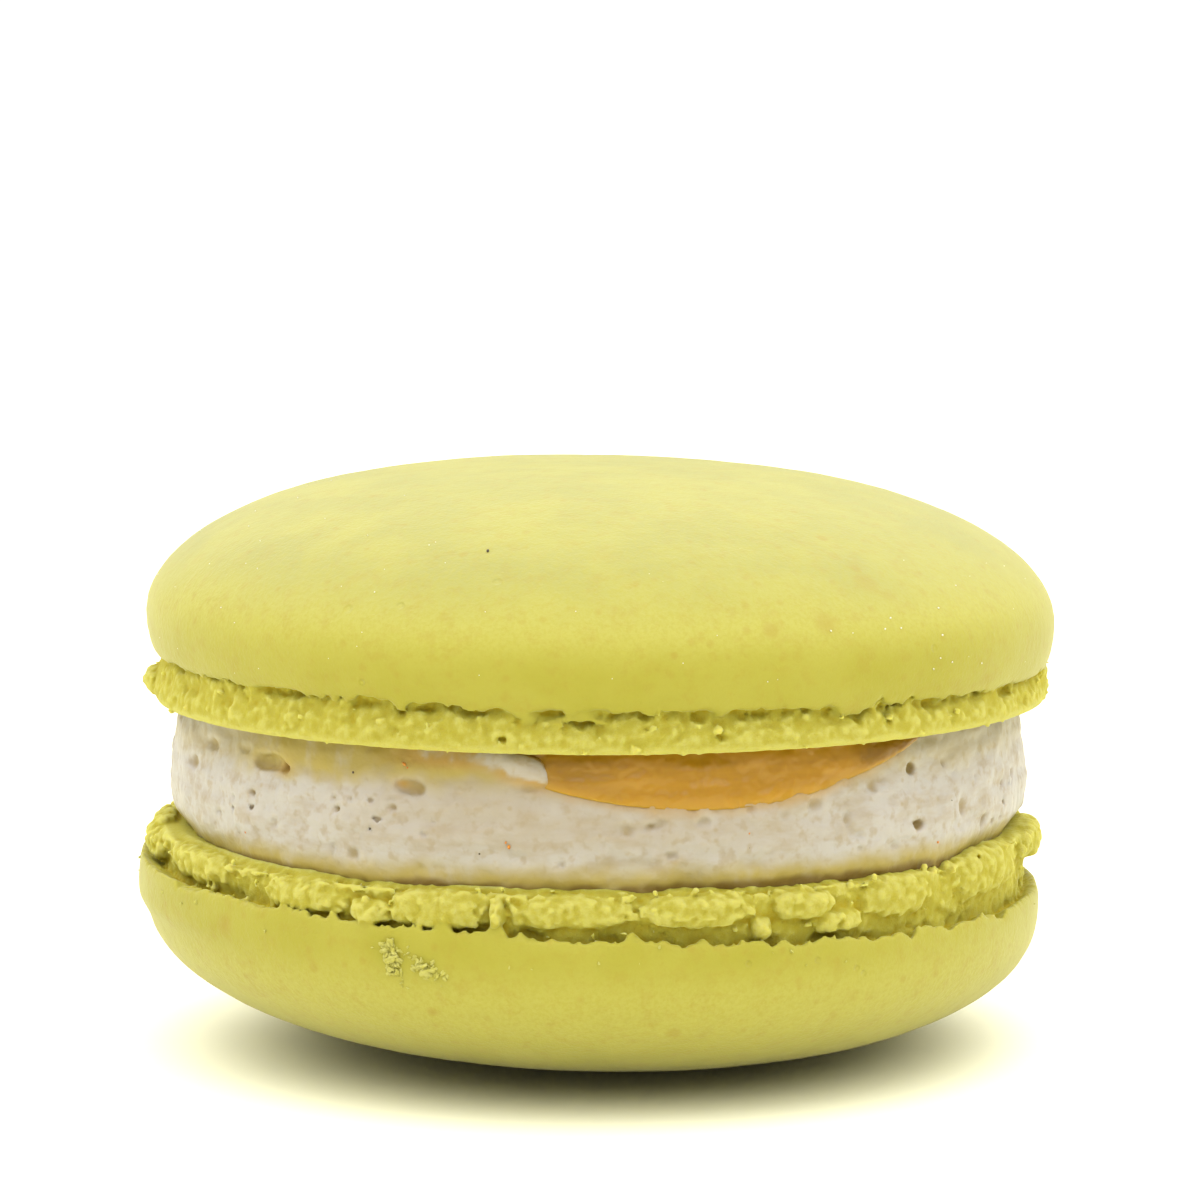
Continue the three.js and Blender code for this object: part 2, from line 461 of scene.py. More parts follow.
class Skin:
    """The surface of some dough, as a net with one point in each grid cell that it cuts."""

    # The four cells round a lattice edge, in the order that faces along it, by the edge's axis.
    SQUARE = ((-1, -1), (-1, 0), (0, 0), (0, -1))
    TURNED = ((-1, -1), (0, -1), (0, 0), (-1, 0))
    AROUND = {0: SQUARE, 1: TURNED, 2: SQUARE}

    def __init__(self, dough: Dough) -> None:
        """Finds the surface.

        Args:
            dough: The stuff.
        """
        self.grid = dough.grid
        self.field = dough.amounts
        self.points, self.ids = self._cell_points()
        self.faces = self._faces()
        self._keep_largest()

    def _crossings(self, axis: int) -> tuple[Array, Array]:
        """Where the surface cuts the lattice's edges along an axis.

        Args:
            axis: 0 for turns, 1 for radii, 2 for heights.

        Returns:
            For each edge, its cut's share of the way, and 1 where it is cut and leaves the stuff,
            -1 where it enters it, or 0.
        """
        if axis == 0:
            near, ahead = self.field, np.roll(self.field, -1, axis=0)
        else:
            count = self.field.shape[axis]
            near = np.take(self.field, range(count - 1), axis=axis)
            ahead = np.take(self.field, range(1, count), axis=axis)
        sign = (near > 0).astype(np.int8) - (ahead > 0).astype(np.int8)
        gap = np.where(sign == 0, 1, near - ahead)
        return np.where(sign == 0, 0, near / gap), sign

    def _cell_points(self) -> tuple[Array, Array]:
        """One point for each cell that the surface passes through.

        Returns:
            The points, and their numbers by cell, where -1 means none.
        """
        turns, circles, levels = self.field.shape
        shape = (turns, circles - 1, levels - 1)
        place = np.zeros(shape + (3,), np.float32)
        count = np.zeros(shape, np.float32)
        for axis in range(3):
            share, sign = self._crossings(axis)
            cut = (sign != 0).astype(np.float32)
            others = [other for other in range(3) if other != axis]
            for sides in product((0, 1), repeat=2):
                picked = []
                for values in (share, cut):
                    for other, side in zip(others, sides):
                        if other == 0:
                            values = np.roll(values, -side, axis=0)
                        else:
                            values = np.take(values, range(side, side + shape[other]), axis=other)
                    picked.append(values)
                place[..., axis] += picked[0]
                count += picked[1]
                for other, side in zip(others, sides):
                    place[..., other] += side * picked[1]
        cells = np.nonzero(count)
        offset = place[cells] / count[cells][:, None]
        angle = (cells[0] + offset[:, 0]) * (FULL_TURN / turns)
        radius = self.grid.inner + (cells[1] + offset[:, 1]) * self.grid.spacing
        rise = (self.grid.high - self.grid.low) / (levels - 1)
        height = self.grid.low + (cells[2] + offset[:, 2]) * rise
        ids = np.full(shape, -1)
        ids[cells] = np.arange(len(angle))
        return circular(angle, radius, height), ids

    def _faces(self) -> Array:
        """The net's squares, facing out."""
        groups = []
        shape = self.ids.shape
        for axis in range(3):
            _, sign = self._crossings(axis)
            edges = np.stack(np.nonzero(sign), axis=1)
            others = [other for other in range(3) if other != axis]
            for other in others:
                if other:
                    at = edges[:, other]
                    edges = edges[(at > 0) & (at < shape[other])]
            corners = []
            for steps in self.AROUND[axis]:
                cell = edges.copy()
                for other, step in zip(others, steps):
                    cell[:, other] += step
                corners.append(self.ids[cell[:, 0] % shape[0], cell[:, 1], cell[:, 2]])
            square = np.stack(corners, axis=1)
            leaves = sign[tuple(edges.T)] > 0
            groups.append(np.where(leaves[:, None], square, square[:, ::-1]))
        return np.concatenate(groups)

    def _keep_largest(self) -> None:
        """Drops closed bubbles and loose bits, and keeps the largest connected net."""
        label = np.arange(len(self.points))
        while True:
            lowest = label[self.faces].min(axis=1)
            spread = label.copy()
            np.minimum.at(spread, self.faces.ravel(), np.repeat(lowest, 4))
            spread = spread[spread]
            if np.array_equal(spread, label):
                break
            label = spread
        owner = label[self.faces[:, 0]]
        faces = self.faces[owner == np.bincount(owner).argmax()]
        used, self.faces = np.unique(faces, return_inverse=True)
        self.faces = self.faces.reshape(-1, 4)
        self.points = self.points[used]

    def opened(self) -> tuple[Surface, Loop, Loop]:
        """The net as a surface that is open at both ends, with its lower and its upper rim."""
        surface = Surface()
        surface.add(self.points)
        surface.faces.append(self.faces)
        return surface, *self.rims()

    def rims(self) -> tuple[Loop, Loop]:
        """The net's two open edges, the lower one first."""
        count = len(self.points)
        start, end = self.faces.ravel(), np.roll(self.faces, -1, axis=1).ravel()
        is_open = ~np.isin(start * count + end, end * count + start)
        follow = dict(zip(start[is_open].tolist(), end[is_open].tolist()))
        loops = []
        while follow:
            first, onward = follow.popitem()
            line = [first]
            while onward in follow:
                line.append(onward)
                onward = follow.pop(onward)
            loops.append(np.array(line))
        loops = sorted(loops, key=len)[-2:]
        loops.sort(key=lambda line: self.points[line, 2].mean())
        return tuple(Loop.sorted_round(line, self.points) for line in loops)


# ---- Finishes ------------------------------------------------------------------------------------


class Signal:
    """A number that varies over a surface. Each operator adds a Math node."""

    def __init__(self, bench: "Bench", socket: bpy.types.NodeSocket) -> None:
        """Wraps a socket.

        Args:
            bench: The material that the socket is in.
            socket: The output that gives the number.
        """
        self.bench = bench
        self.socket = socket

    def _maths(self, operation: str, first: Any, second: Any = 0.0) -> "Signal":
        """The result of one Math node."""
        node = self.bench.node(
            "ShaderNodeMath", {"operation": operation}, {0: first, 1: second}
        )
        return Signal(self.bench, node.outputs[0])

    def __add__(self, other: Any) -> "Signal":
        """Adds."""
        return self._maths("ADD", self, other)

    def __radd__(self, other: Any) -> "Signal":
        """Adds to a plain number."""
        return self._maths("ADD", other, self)

    def __sub__(self, other: Any) -> "Signal":
        """Subtracts."""
        return self._maths("SUBTRACT", self, other)

    def __rsub__(self, other: Any) -> "Signal":
        """Subtracts from a plain number."""
        return self._maths("SUBTRACT", other, self)

    def __mul__(self, other: Any) -> "Signal":
        """Multiplies."""
        return self._maths("MULTIPLY", self, other)

    def __rmul__(self, other: Any) -> "Signal":
        """Multiplies a plain number."""
        return self._maths("MULTIPLY", other, self)

    def __pow__(self, other: Any) -> "Signal":
        """Raises to a power."""
        return self._maths("POWER", self, other)

    def or_more(self, other: Any) -> "Signal":
        """The larger of the two."""
        return self._maths("MAXIMUM", self, other)

    def between(self, low: float, high: float) -> "Signal":
        """0 below low, 1 above high and a smooth step between; high may be the smaller one."""
        node = self.bench.node(
            "ShaderNodeMapRange",
            {"interpolation_type": "SMOOTHSTEP"},
            {"Value": self, "From Min": low, "From Max": high},
        )
        return Signal(self.bench, node.outputs["Result"])


class Bench:
    """The node tree of a material or of the surroundings, where their finish is mixed."""

    def __init__(self, owner: bpy.types.Material | bpy.types.World) -> None:
        """Clears the owner's nodes.

        Args:
            owner: What the finish is for.
        """
        self.owner = owner
        owner.use_nodes = True
        self.tree = owner.node_tree
        self.tree.nodes.clear()
        self.place = self.node("ShaderNodeTexCoord").outputs["Object"]

    @staticmethod
    def for_material(name: str) -> "Bench":
        """Starts a new material."""
        return Bench(bpy.data.materials.new(name))

    def node(
        self,
        kind: str,
        settings: dict[str, Any] | None = None,
        inputs: dict[str | int, Any] | None = None,
    ) -> bpy.types.Node:
        """Adds a node.

        Args:
            kind: The node's type.
            settings: Its properties.
            inputs: Plain values, sockets or signals, by the name or number of the node's input.

        Returns:
            The node.
        """
        node = self.tree.nodes.new(kind)
        for key, value in (settings or {}).items():
            setattr(node, key, value)
        for key, value in (inputs or {}).items():
            value = value.socket if isinstance(value, Signal) else value
            if isinstance(value, bpy.types.NodeSocket):
                self.tree.links.new(value, node.inputs[key])
            else:
                node.inputs[key].default_value = value
        return node

    def noise(
        self, size: float, detail: float = 2.0, roughness: float = 0.5, where: Any = None
    ) -> Signal:
        """Noise from 0 to 1.

        Args:
            size: Size of its lumps, in mm.
            detail: How many finer layers are added.
            roughness: How strong the finer layers are.
            where: The place to read it at, when it isn't the surface's own.

        Returns:
            The noise.
        """
        node = self.node(
            "ShaderNodeTexNoise",
            None,
            {
                "Vector": self.place if where is None else where,
                "Scale": 1 / (size * METRES),
                "Detail": detail,
                "Roughness": roughness,
            },
        )
        return Signal(self, node.outputs[0])

    def grains(self, size: float, where: Any = None) -> tuple[Signal, Signal]:
        """Scattered grains.

        Args:
            size: The room that one grain has, in mm.
            where: The place to read them at, when it isn't the surface's own.

        Returns:
            The distance from the nearest grain's middle as a share of size, and a number from 0 to
            1 that is the grain's own.
        """
        node = self.node(
            "ShaderNodeTexVoronoi",
            None,
            {"Vector": self.place if where is None else where, "Scale": 1 / (size * METRES)},
        )
        own = self.node("ShaderNodeSeparateColor", None, {0: node.outputs["Color"]})
        return Signal(self, node.outputs["Distance"]), Signal(self, own.outputs[0])

    def stretched(self, x: float, y: float, z: float) -> bpy.types.NodeSocket:
        """The surface's place, with each axis scaled."""
        node = self.node(
            "ShaderNodeVectorMath", {"operation": "MULTIPLY"}, {0: self.place, 1: (x, y, z)}
        )
        return node.outputs[0]

    def measure(self, label: str) -> Signal:
        """A number that the mesh holds for each point."""
        node = self.node("ShaderNodeAttribute", {"attribute_name": label})
        return Signal(self, node.outputs["Fac"])

    def nearness(self, spots: Sequence["Mark"]) -> Signal:
        """How near the surface is to any of some marks: 1 at a mark's middle, 0 past its edge."""
        total = None
        for spot in spots:
            centre = tuple(value * METRES for value in spot.place)
            node = self.node(
                "ShaderNodeVectorMath", {"operation": "DISTANCE"}, {0: self.place, 1: centre}
            )
            away = Signal(self, node.outputs["Value"])
            here = away.between(spot.size * METRES, 0.35 * spot.size * METRES) * spot.strength
            total = here if total is None else total.or_more(here)
        return total

    def mix(self, factor: Any, first: Any, second: Any) -> bpy.types.NodeSocket:
        """A colour between two.

        Args:
            factor: The second one's share.
            first: A colour, or the socket that gives one.
            second: Another.

        Returns:
            The socket that gives the colour.
        """
        inputs = {0: factor, 6: first, 7: second}
        return self.node("ShaderNodeMix", {"data_type": "RGBA"}, inputs).outputs[2]

    def bump(self, height: Signal) -> bpy.types.NodeSocket:
        """A normal that follows a relief, given in mm."""
        inputs = {"Height": height * METRES, "Distance": 1.0, "Strength": 1.0}
        return self.node("ShaderNodeBump", None, inputs).outputs["Normal"]

    def principled(self, inputs: dict[str, Any]) -> bpy.types.NodeSocket:
        """A Principled shader with these inputs."""
        return self.node("ShaderNodeBsdfPrincipled", None, inputs).outputs[0]

    def finish(self, shader: bpy.types.NodeSocket, kind: str = "Material") -> Any:
        """Ends the nodes in a shader.

        Args:
            shader: The shader.
            kind: What it is for, Material or World.

        Returns:
            The material, or the surroundings.
        """
        self.node("ShaderNodeOutput" + kind, None, {"Surface": shader})
        return self.owner


def dress(piece: bpy.types.Object, material: bpy.types.Material) -> None:
    """Gives a piece its one material."""
    piece.data.materials.clear()
    piece.data.materials.append(material)


@dataclass(frozen=True)
class Mark:
    """A small mark on a surface, in the macaron's own frame."""

    place: tuple[float, float, float]
    size: float  # radius, in mm
    strength: float = 1.0


@dataclass(frozen=True)
class ShellFinish:
    """Baked almond meringue: a matt, powdery skin with brown freckles, and a spongy yellow foot."""

    # Painted light: the top of the upper dome is tinted paler and greyer as painted sheen, and kept
    # darker against the stronger light from above.
    crown_light_shade: Colour = (0.262, 0.249, 0.056, 1)
    skin: Colour = (0.348, 0.32, 0.053, 1)
    skin_shade: Colour = (0.293, 0.262, 0.025, 1)
    # Painted shade: the cap's lower band, which faces down, is darker.
    skirt: Colour = (0.28, 0.254, 0.0185, 1)
    freckle: Colour = (0.27, 0.18, 0.013, 1)
    foot: Colour = (0.325, 0.287, 0.032, 1)
    # Painted highlight and painted shade of the foot's ridges, creases and hollows.
    foot_painted_highlight: Colour = (0.39, 0.362, 0.085, 1)
    foot_painted_shade: Colour = (0.32, 0.24, 0.006, 1)
    bloom: float = 0.12  # of the powdery sheen
    blotches: tuple[Mark, ...] = ()
    pits: tuple[Mark, ...] = ()

    def material(self, name: str) -> bpy.types.Material:
        """Mixes the finish.

        Args:
            name: The material's name.

        Returns:
            The material.
        """
        bench = Bench.for_material(name)
        foot = bench.measure("foot")
        depth = bench.measure("depth")

        # The cap: wide clouds of colour, a powdery grain, freckles, blotches and pits.
        clouds = bench.noise(4.5, 3.0, 0.55).between(0.36, 0.66)
        mottle = bench.noise(0.9, 4.0, 0.7).between(0.47, 0.72)
        powder = bench.noise(0.2, 2.0, 0.7)
        distance, own = bench.grains(0.85)
        freckles = distance.between(0.34, 0.08) * own.between(0.62, 0.9)
        # Painted sheen on the upper dome's top; on the lower shell, painted shade towards its
        # standing side.
        skin = bench.mix(bench.measure("crown_light_shade") * (1.0 - 0.35 * clouds), self.skin, self.crown_light_shade)
        # Painted shade on the cap's lower band above the torn edge.
        skin = bench.mix(bench.measure("skirt") * (0.7 + 0.3 * clouds), skin, self.skirt)
        skin = bench.mix(0.45 * powder.between(0.35, 0.7), skin, self.skin_shade)
        skin = bench.mix(0.26 * mottle, skin, self.freckle)
        skin = bench.mix(0.3 * freckles, skin, self.freckle)
        if self.blotches:
            skin = bench.mix(bench.nearness(self.blotches) * 0.45, skin, self.freckle)
        grain = 0.03 * powder + 0.03 * bench.noise(0.6, 2.0, 0.5)
        if self.pits:
            grain = grain - 0.05 * bench.nearness(self.pits)
        cap = bench.principled(
            {
                "Base Color": skin,
                "Roughness": 0.6,
                "Normal": bench.bump(grain),
                "Subsurface Weight": 0.25,
                "Subsurface Radius": (1.0, 0.85, 0.25),
                "Subsurface Scale": 0.7 * METRES,
                "Specular IOR Level": 0.25,
                "Sheen Weight": self.bloom,
                "Sheen Roughness": 0.5,
            }
        )

        # The foot: painted highlight where it stands out, and painted shade in its creases and
        # hollows.
        crumb = bench.noise(0.3, 4.0, 0.7)
        crease = bench.measure("crease") + 0.16 * (crumb - 0.5)
        inside = bench.mix(crease.between(0.02, -0.12), self.foot, self.foot_painted_highlight)
        inside = bench.mix(crease.between(0.0, 0.18), inside, self.foot_painted_shade)
        inside = bench.mix(depth.between(0.1, 0.9), inside, self.foot_painted_shade)
        rough = 0.09 * bench.noise(0.3, 4.0, 0.75) + 0.035 * bench.noise(0.1, 1.0, 0.5)
        sponge = bench.principled(
            {
                "Base Color": inside,
                "Roughness": 0.85,
                "Normal": bench.bump(rough),
                "Subsurface Weight": 0.6,
                "Subsurface Radius": (1.0, 0.82, 0.16),
                "Subsurface Scale": 0.9 * METRES,
                "Specular IOR Level": 0.2,
            }
        )
        both = bench.node("ShaderNodeMixShader", None, {0: foot, 1: cap, 2: sponge})
        return bench.finish(both.outputs[0])


@dataclass(frozen=True)
class CreamFinish:
    """Whipped buttercream: satin, with yellow stains from the shells and the curd, and painted
    shade in its pits, its middle and its creases.
    """

    cream: Colour = (0.357, 0.329, 0.293, 1)
    shade: Colour = (0.27, 0.212, 0.13, 1)
    # Real flecks, and painted shade inside the pits.
    fleck_and_pit_shade: Colour = (0.25, 0.175, 0.06, 1)
    # Partly a real stain from the shells, partly painted shade along the bottom and under the upper
    # shell's rim.
    shell_stain_and_shade: Colour = (0.3, 0.23, 0.05, 1)
    curd_stain: Colour = (0.33, 0.19, 0.035, 1)
    # Painted shade in the crease above the lower shell.
    crease_shade: Colour = (0.13, 0.075, 0.01, 1)

    def material(self, name: str) -> bpy.types.Material:
        """Mixes the finish.

        Args:
            name: The material's name.

        Returns:
            The material.
        """
        bench = Bench.for_material(name)
        smears = bench.noise(2.4, 3.0, 0.6, bench.stretched(1.0, 1.0, 2.6))
        dimples = bench.noise(0.6, 2.0, 0.55)
        colour = bench.mix(smears.between(0.42, 0.72) * 0.55, self.cream, self.shade)
        colour = bench.mix(dimples.between(0.5, 0.72) * 0.6, colour, self.shade)
        # Painted shade: the middle of the front is darker than its ends, with a warm tint as of
        # curd soaking in.
        colour = bench.mix(bench.measure("soak_and_shade"), colour, self.shade)
        distance, own = bench.grains(0.6)
        flecks = distance.between(0.3, 0.05) * own.between(0.8, 0.95)
        colour = bench.mix(flecks * 0.4, colour, self.fleck_and_pit_shade)
        # Painted shade inside the pits.
        colour = bench.mix(bench.measure("hollow"), colour, self.fleck_and_pit_shade)
        cloudy = bench.noise(1.6, 3.0, 0.6, bench.stretched(1.0, 1.0, 0.6)).between(-0.1, 0.55)
        # Stain from the shells, with painted shade along the bottom and under the rim.
        colour = bench.mix(bench.measure("shell_stain_and_shade") * cloudy, colour, self.shell_stain_and_shade)
        colour = bench.mix(bench.measure("curd_stain"), colour, self.curd_stain)
        # Painted shade in the crease above the lower shell.
        colour = bench.mix(bench.measure("crease_shade"), colour, self.crease_shade)
        relief = 0.006 * bench.noise(0.14, 2.0, 0.6) - 0.06 * dimples
        inputs = {
            "Base Color": colour,
            "Roughness": 0.5,
            "Normal": bench.bump(relief),
            "Subsurface Weight": 0.4,
            "Subsurface Radius": (1.0, 0.8, 0.5),
            "Subsurface Scale": 1.2 * METRES,
            "Specular IOR Level": 0.35,
        }
        return bench.finish(bench.principled(inputs))


@dataclass(frozen=True)
class CurdFinish:
    """Fruit curd: amber, smooth and a little cloudy, with faint streaks."""

    curd: Colour = (0.285, 0.139, 0.0038, 1)
    # Lighter tone, for the streaks and for the painted light on the face's lower band.
    bright: Colour = (0.348, 0.176, 0.0065, 1)
    # Colour of the painted shade at the face's ends.
    deep: Colour = (0.18, 0.088, 0.0018, 1)

    def material(self, name: str) -> bpy.types.Material:
        """Mixes the finish.

        Args:
            name: The material's name.

        Returns:
            The material.
        """
        bench = Bench.for_material(name)
        streaks = bench.noise(1.6, 3.0, 0.5, bench.stretched(0.35, 0.35, 3.0))
        colour = bench.mix(streaks.between(0.35, 0.7) * 0.6, self.curd, self.bright)
        # Painted light: the face's lower band is lighter, and its top stays darker as in the upper
        # shell's shade.
        colour = bench.mix(bench.measure("lit_lower_band"), colour, self.bright)
        # Painted shade at the face's ends, under the cream's fold and in the pocket at the right.
        colour = bench.mix(bench.measure("deep"), colour, self.deep)
        relief = 0.03 * bench.noise(1.2, 2.0, 0.5)
        inputs = {
            "Base Color": colour,
            "Roughness": 0.35,
            "Normal": bench.bump(relief),
            "Subsurface Weight": 0.3,
            "Subsurface Radius": (1.0, 0.5, 0.1),
            "Subsurface Scale": 1.5 * METRES,
            "Specular IOR Level": 0.3,
            "Coat Weight": 0.08,
            "Coat Roughness": 0.2,
        }
        return bench.finish(bench.principled(inputs))


@dataclass(frozen=True)
class PlainFinish:
    """A finish for small loose bits: one colour that varies a little, and a grain."""

    colour: Colour
    varied: Colour
    grain: float  # size, in mm
    roughness: float

    def material(self, name: str) -> bpy.types.Material:
        """Mixes the finish.

        Args:
            name: The material's name.

        Returns:
            The material.
        """
        bench = Bench.for_material(name)
        patches = bench.noise(self.grain, 3.0, 0.6)
        relief = 0.1 * self.grain * bench.noise(self.grain / 2, 2.0, 0.6)
        colour = bench.mix(patches.between(0.35, 0.65), self.colour, self.varied)
        inputs = {
            "Base Color": colour,
            "Roughness": self.roughness,
            "Normal": bench.bump(relief),
        }
        return bench.finish(bench.principled(inputs))


# ---- Shells --------------------------------------------------------------------------------------


class Side(Enum):
    """Which way a shell lies. The value turns y and z round."""

    DOME_UP = 1
    DOME_DOWN = -1


@dataclass(frozen=True)
class Tooth:
    """A tooth of the cap's torn edge, or a notch where its drop is below zero."""

    bearing: float
    width: float
    drop: float  # towards the flat side


@dataclass(frozen=True)
class Shell:
    """One baked shell: a smooth cap with a torn edge over a ruffled foot."""

    name: str
    node: str
    side: Side
    axis: tuple[float, float]
    flat_height: float  # of the flat side, in the macaron's frame
    radius: float
    dome_height: float
    widest_height: float
    dome_lean: float
    fullness: tuple[float, float]  # exponents of the outline, across and up
    crown_radius: float  # of the spot that is pressed flat, or 0
    crown_start: float  # how far above the widest height the crown's colour sets in
    foot_height: float
    foot_lean: float
    foot_radius: float
    edge_radius: float
    rim_height: float  # of the smooth band round the flat side
    draw_in: float  # how far the foot leans in towards the groove
    groove: float  # its usual depth
    groove_height: float
    raggedness: float
    flare: float  # how far the left side of the skirt stands out
    chipping: float  # how far the flat side's edge has crumbled, in mm
    crumb_reach: float
    puffiness: float
    teeth: tuple[Tooth, ...]
    lumps: tuple[Spot, ...]
    hollows: tuple[Spot, ...]
    bubbles: int
    crumbs: int
    rim_crumbs: int
    rim_radius: float  # of the flat side's edge, where those crumbs cling
    seed: int

    SPACING = 0.125
    TURNS = 1130
    INNER = 20.6
    OUTER = 23.9
    CHIPPED_FROM = 21.1  # radius from which the flat side is chipped
    UNDERCUT = 0.5  # how steeply the torn edge's underside rises inwards
    DOME_SPACING = 0.3
    RING_POINTS = (480, 360, 288, 200, 140, 96, 56, 28)
    FLAT_RINGS = (5.0, 10.0, 14.0, 17.5, 19.8)  # radii of the rings across the flat side
    WHOLE_END = 12.0  # how many degrees from its left and right ends the shell is whole
    TORN_SPREAD = 34.0  # in how many degrees more its edge is as torn as it gets
    RUGGED_SPREAD = 38.0  # the same for its foot
    MELT = 0.12  # how wide the cap and the foot melt together

    # Noise, as sizes and strengths in mm.
    RELIEF = ((6.5, 0.045), (1.7, 0.016), (0.6, 0.007))  # of the cap's skin
    TORN = ((1.9, 0.1), (0.75, 0.07), (0.34, 0.06))  # of its torn edge
    TORN_PUFFS = ((0.5, 0.05), (0.27, 0.04))
    FINE_CRUMB = ((0.5, 0.055), (0.28, 0.05))  # of the foot
    PUFFS = ((1.5, 0.09), (0.6, 0.035))
    ROUGHNESS = ((0.8, 0.1), (0.4, 0.08), (0.22, 0.05))  # of what is added or scooped out

    # -- outline

    def angle_of(self, bearing: float) -> float:
        """A bearing's angle on the grid, in radians."""
        return self.side.value * math.radians(bearing - 90)

    def nominal_edge(self, across: Array) -> Array:
        """Height of the torn edge before it was torn. across is the distance to the right."""
        return self.foot_height + self.foot_lean * across

    def torn_edge(self, angles: Array) -> Array:
        """Height of the cap's torn edge at angles round the shell."""
        noise = Noise(self.seed)
        rim = circular(angles, self.radius, 0.0)
        ragged = noise.lumps(rim, self.TORN) + noise.puffs(rim, self.TORN_PUFFS)
        ragged = self.raggedness * ragged
        ragged = ragged * (0.3 + 0.7 * self.brokenness(angles, self.TORN_SPREAD))
        for tooth in self.teeth:
            aside = wrapped(angles - self.angle_of(tooth.bearing)) * self.radius
            ragged = ragged - tooth.drop * np.exp(-np.abs(2 * aside / tooth.width) ** 3)
        return self.nominal_edge(rim[..., 0]) + ragged

    def full_rise(self) -> float:
        """How far the dome would rise if nothing pressed on it."""
        share = (self.crown_radius / self.radius) ** self.fullness[0]
        return self.dome_height / (1 - share) ** (1 / self.fullness[1])

    def skin_radius(self, height: Array, across: Array) -> Array:
        """Radius of the cap's skin at a height, as broadcast arrays."""
        widest = self.widest_height + self.dome_lean * across
        skirt = (widest - height) / (widest - self.nominal_edge(across))
        low = self.radius - (self.radius - self.edge_radius) * np.clip(skirt, 0, 3) ** 2
        rise = np.clip((height - widest) / self.full_rise(), 0, 1)
        dome = (1 - rise ** self.fullness[1]) ** (1 / self.fullness[0])
        even = np.where(height < widest, low, self.radius * dome)
        return even + self.skirt_flare(height, across)

    def skirt_flare(self, height: Array, across: Array) -> Array:
        """How far the skirt stands out at a height and a distance to the right."""
        low = ease((self.widest_height + 0.9 - height) / 1.4)
        return self.flare * low * ease((-across - 14) / 8)

    def relief(self, points: Array) -> Array:
        """How far the cap's skin stands out from its even form, in mm."""
        return Noise(self.seed + 1).lumps(points, self.RELIEF)

    # -- the foot and the torn edge, as stuff on a grid

    def brokenness(self, angles: Array, spread: float = 14.0) -> Array:
        """How broken the shell is: 1 all round, but 0 at its left and right ends.

        Args:
            angles: Angles on the grid.
            spread: How wide the change is, in degrees.

        Returns:
            The shares.
        """
        from_end = np.abs(np.degrees(np.arccos(np.abs(np.cos(angles)))))
        return ease((from_end - self.WHOLE_END) / spread)

    def grid(self) -> RingGrid:
        """The grid round the foot, up to where the cap is smooth."""
        high = self.foot_height + abs(self.foot_lean) * self.radius + 0.75
        return RingGrid(self.INNER, self.OUTER, -0.5, high, self.SPACING, self.TURNS)

    def dough(self) -> Dough:
        """The foot and the torn edge before anything is added or scooped out."""
        grid = self.grid()
        points = grid.points()
        noise = Noise(self.seed + 2)
        radius = grid.radii[None, :, None]
        height = grid.heights[None, None, :]
        across = radius * np.cos(grid.angles)[:, None, None]
        fine = noise.lumps(points, self.FINE_CRUMB)
        rugged = 0.15 + 0.85 * self.brokenness(grid.angles, self.RUGGED_SPREAD)[:, None, None]
        edge = self.torn_edge(grid.angles)[:, None, None] + rugged * fine

        # The cap, which ends in the torn edge.
        skin = self.skin_radius(height, across) + self.relief(points)
        below = ease((edge + 0.5 - height) / 0.5)
        skin = skin + below * (0.5 * rugged * fine - 0.04)
        under = edge + self.UNDERCUT * np.maximum(skin - radius, 0)
        cap = np.minimum(skin - radius, height - under)

        # The foot's face, with the groove under the torn edge.
        openness = noise(points, (1.8, 1.8, 40.0)) + 0.6 * noise(points, (0.8, 0.8, 1.6))
        groove = self.groove * rugged * np.clip(0.25 + 1.5 * openness, 0, 2)
        share = np.clip((height - self.rim_height) / (edge - self.rim_height), 0, 1)
        lean = self.draw_in * ease(share)
        pinch = groove * ease((height - edge + self.groove_height + 0.3 * groove) / 0.5)
        sponge = ease((height - 0.6 * self.rim_height + 0.15) / 0.5) * self.puffiness
        face = self.foot_radius - lean - pinch
        face = face + sponge * (noise.puffs(points, self.PUFFS) + fine)
        rounded = 0.12 * ease((0.25 - height) / 0.25)

        # The flat side, whose edge is chipped.
        broken = self.chipping * self.brokenness(grid.angles)[:, None, None]
        chips = 0.45 + np.abs(noise(points, 0.9)) + 1.5 * fine
        flat = height - broken * ease((radius - self.CHIPPED_FROM) / 0.6) * chips

        foot = np.minimum(face - rounded - radius, flat)
        core = np.minimum(self.INNER + 0.35 - radius, height)
        whole = np.maximum(blend_max(cap, foot, self.MELT), core)
        return Dough(grid, whole.astype(np.float32))

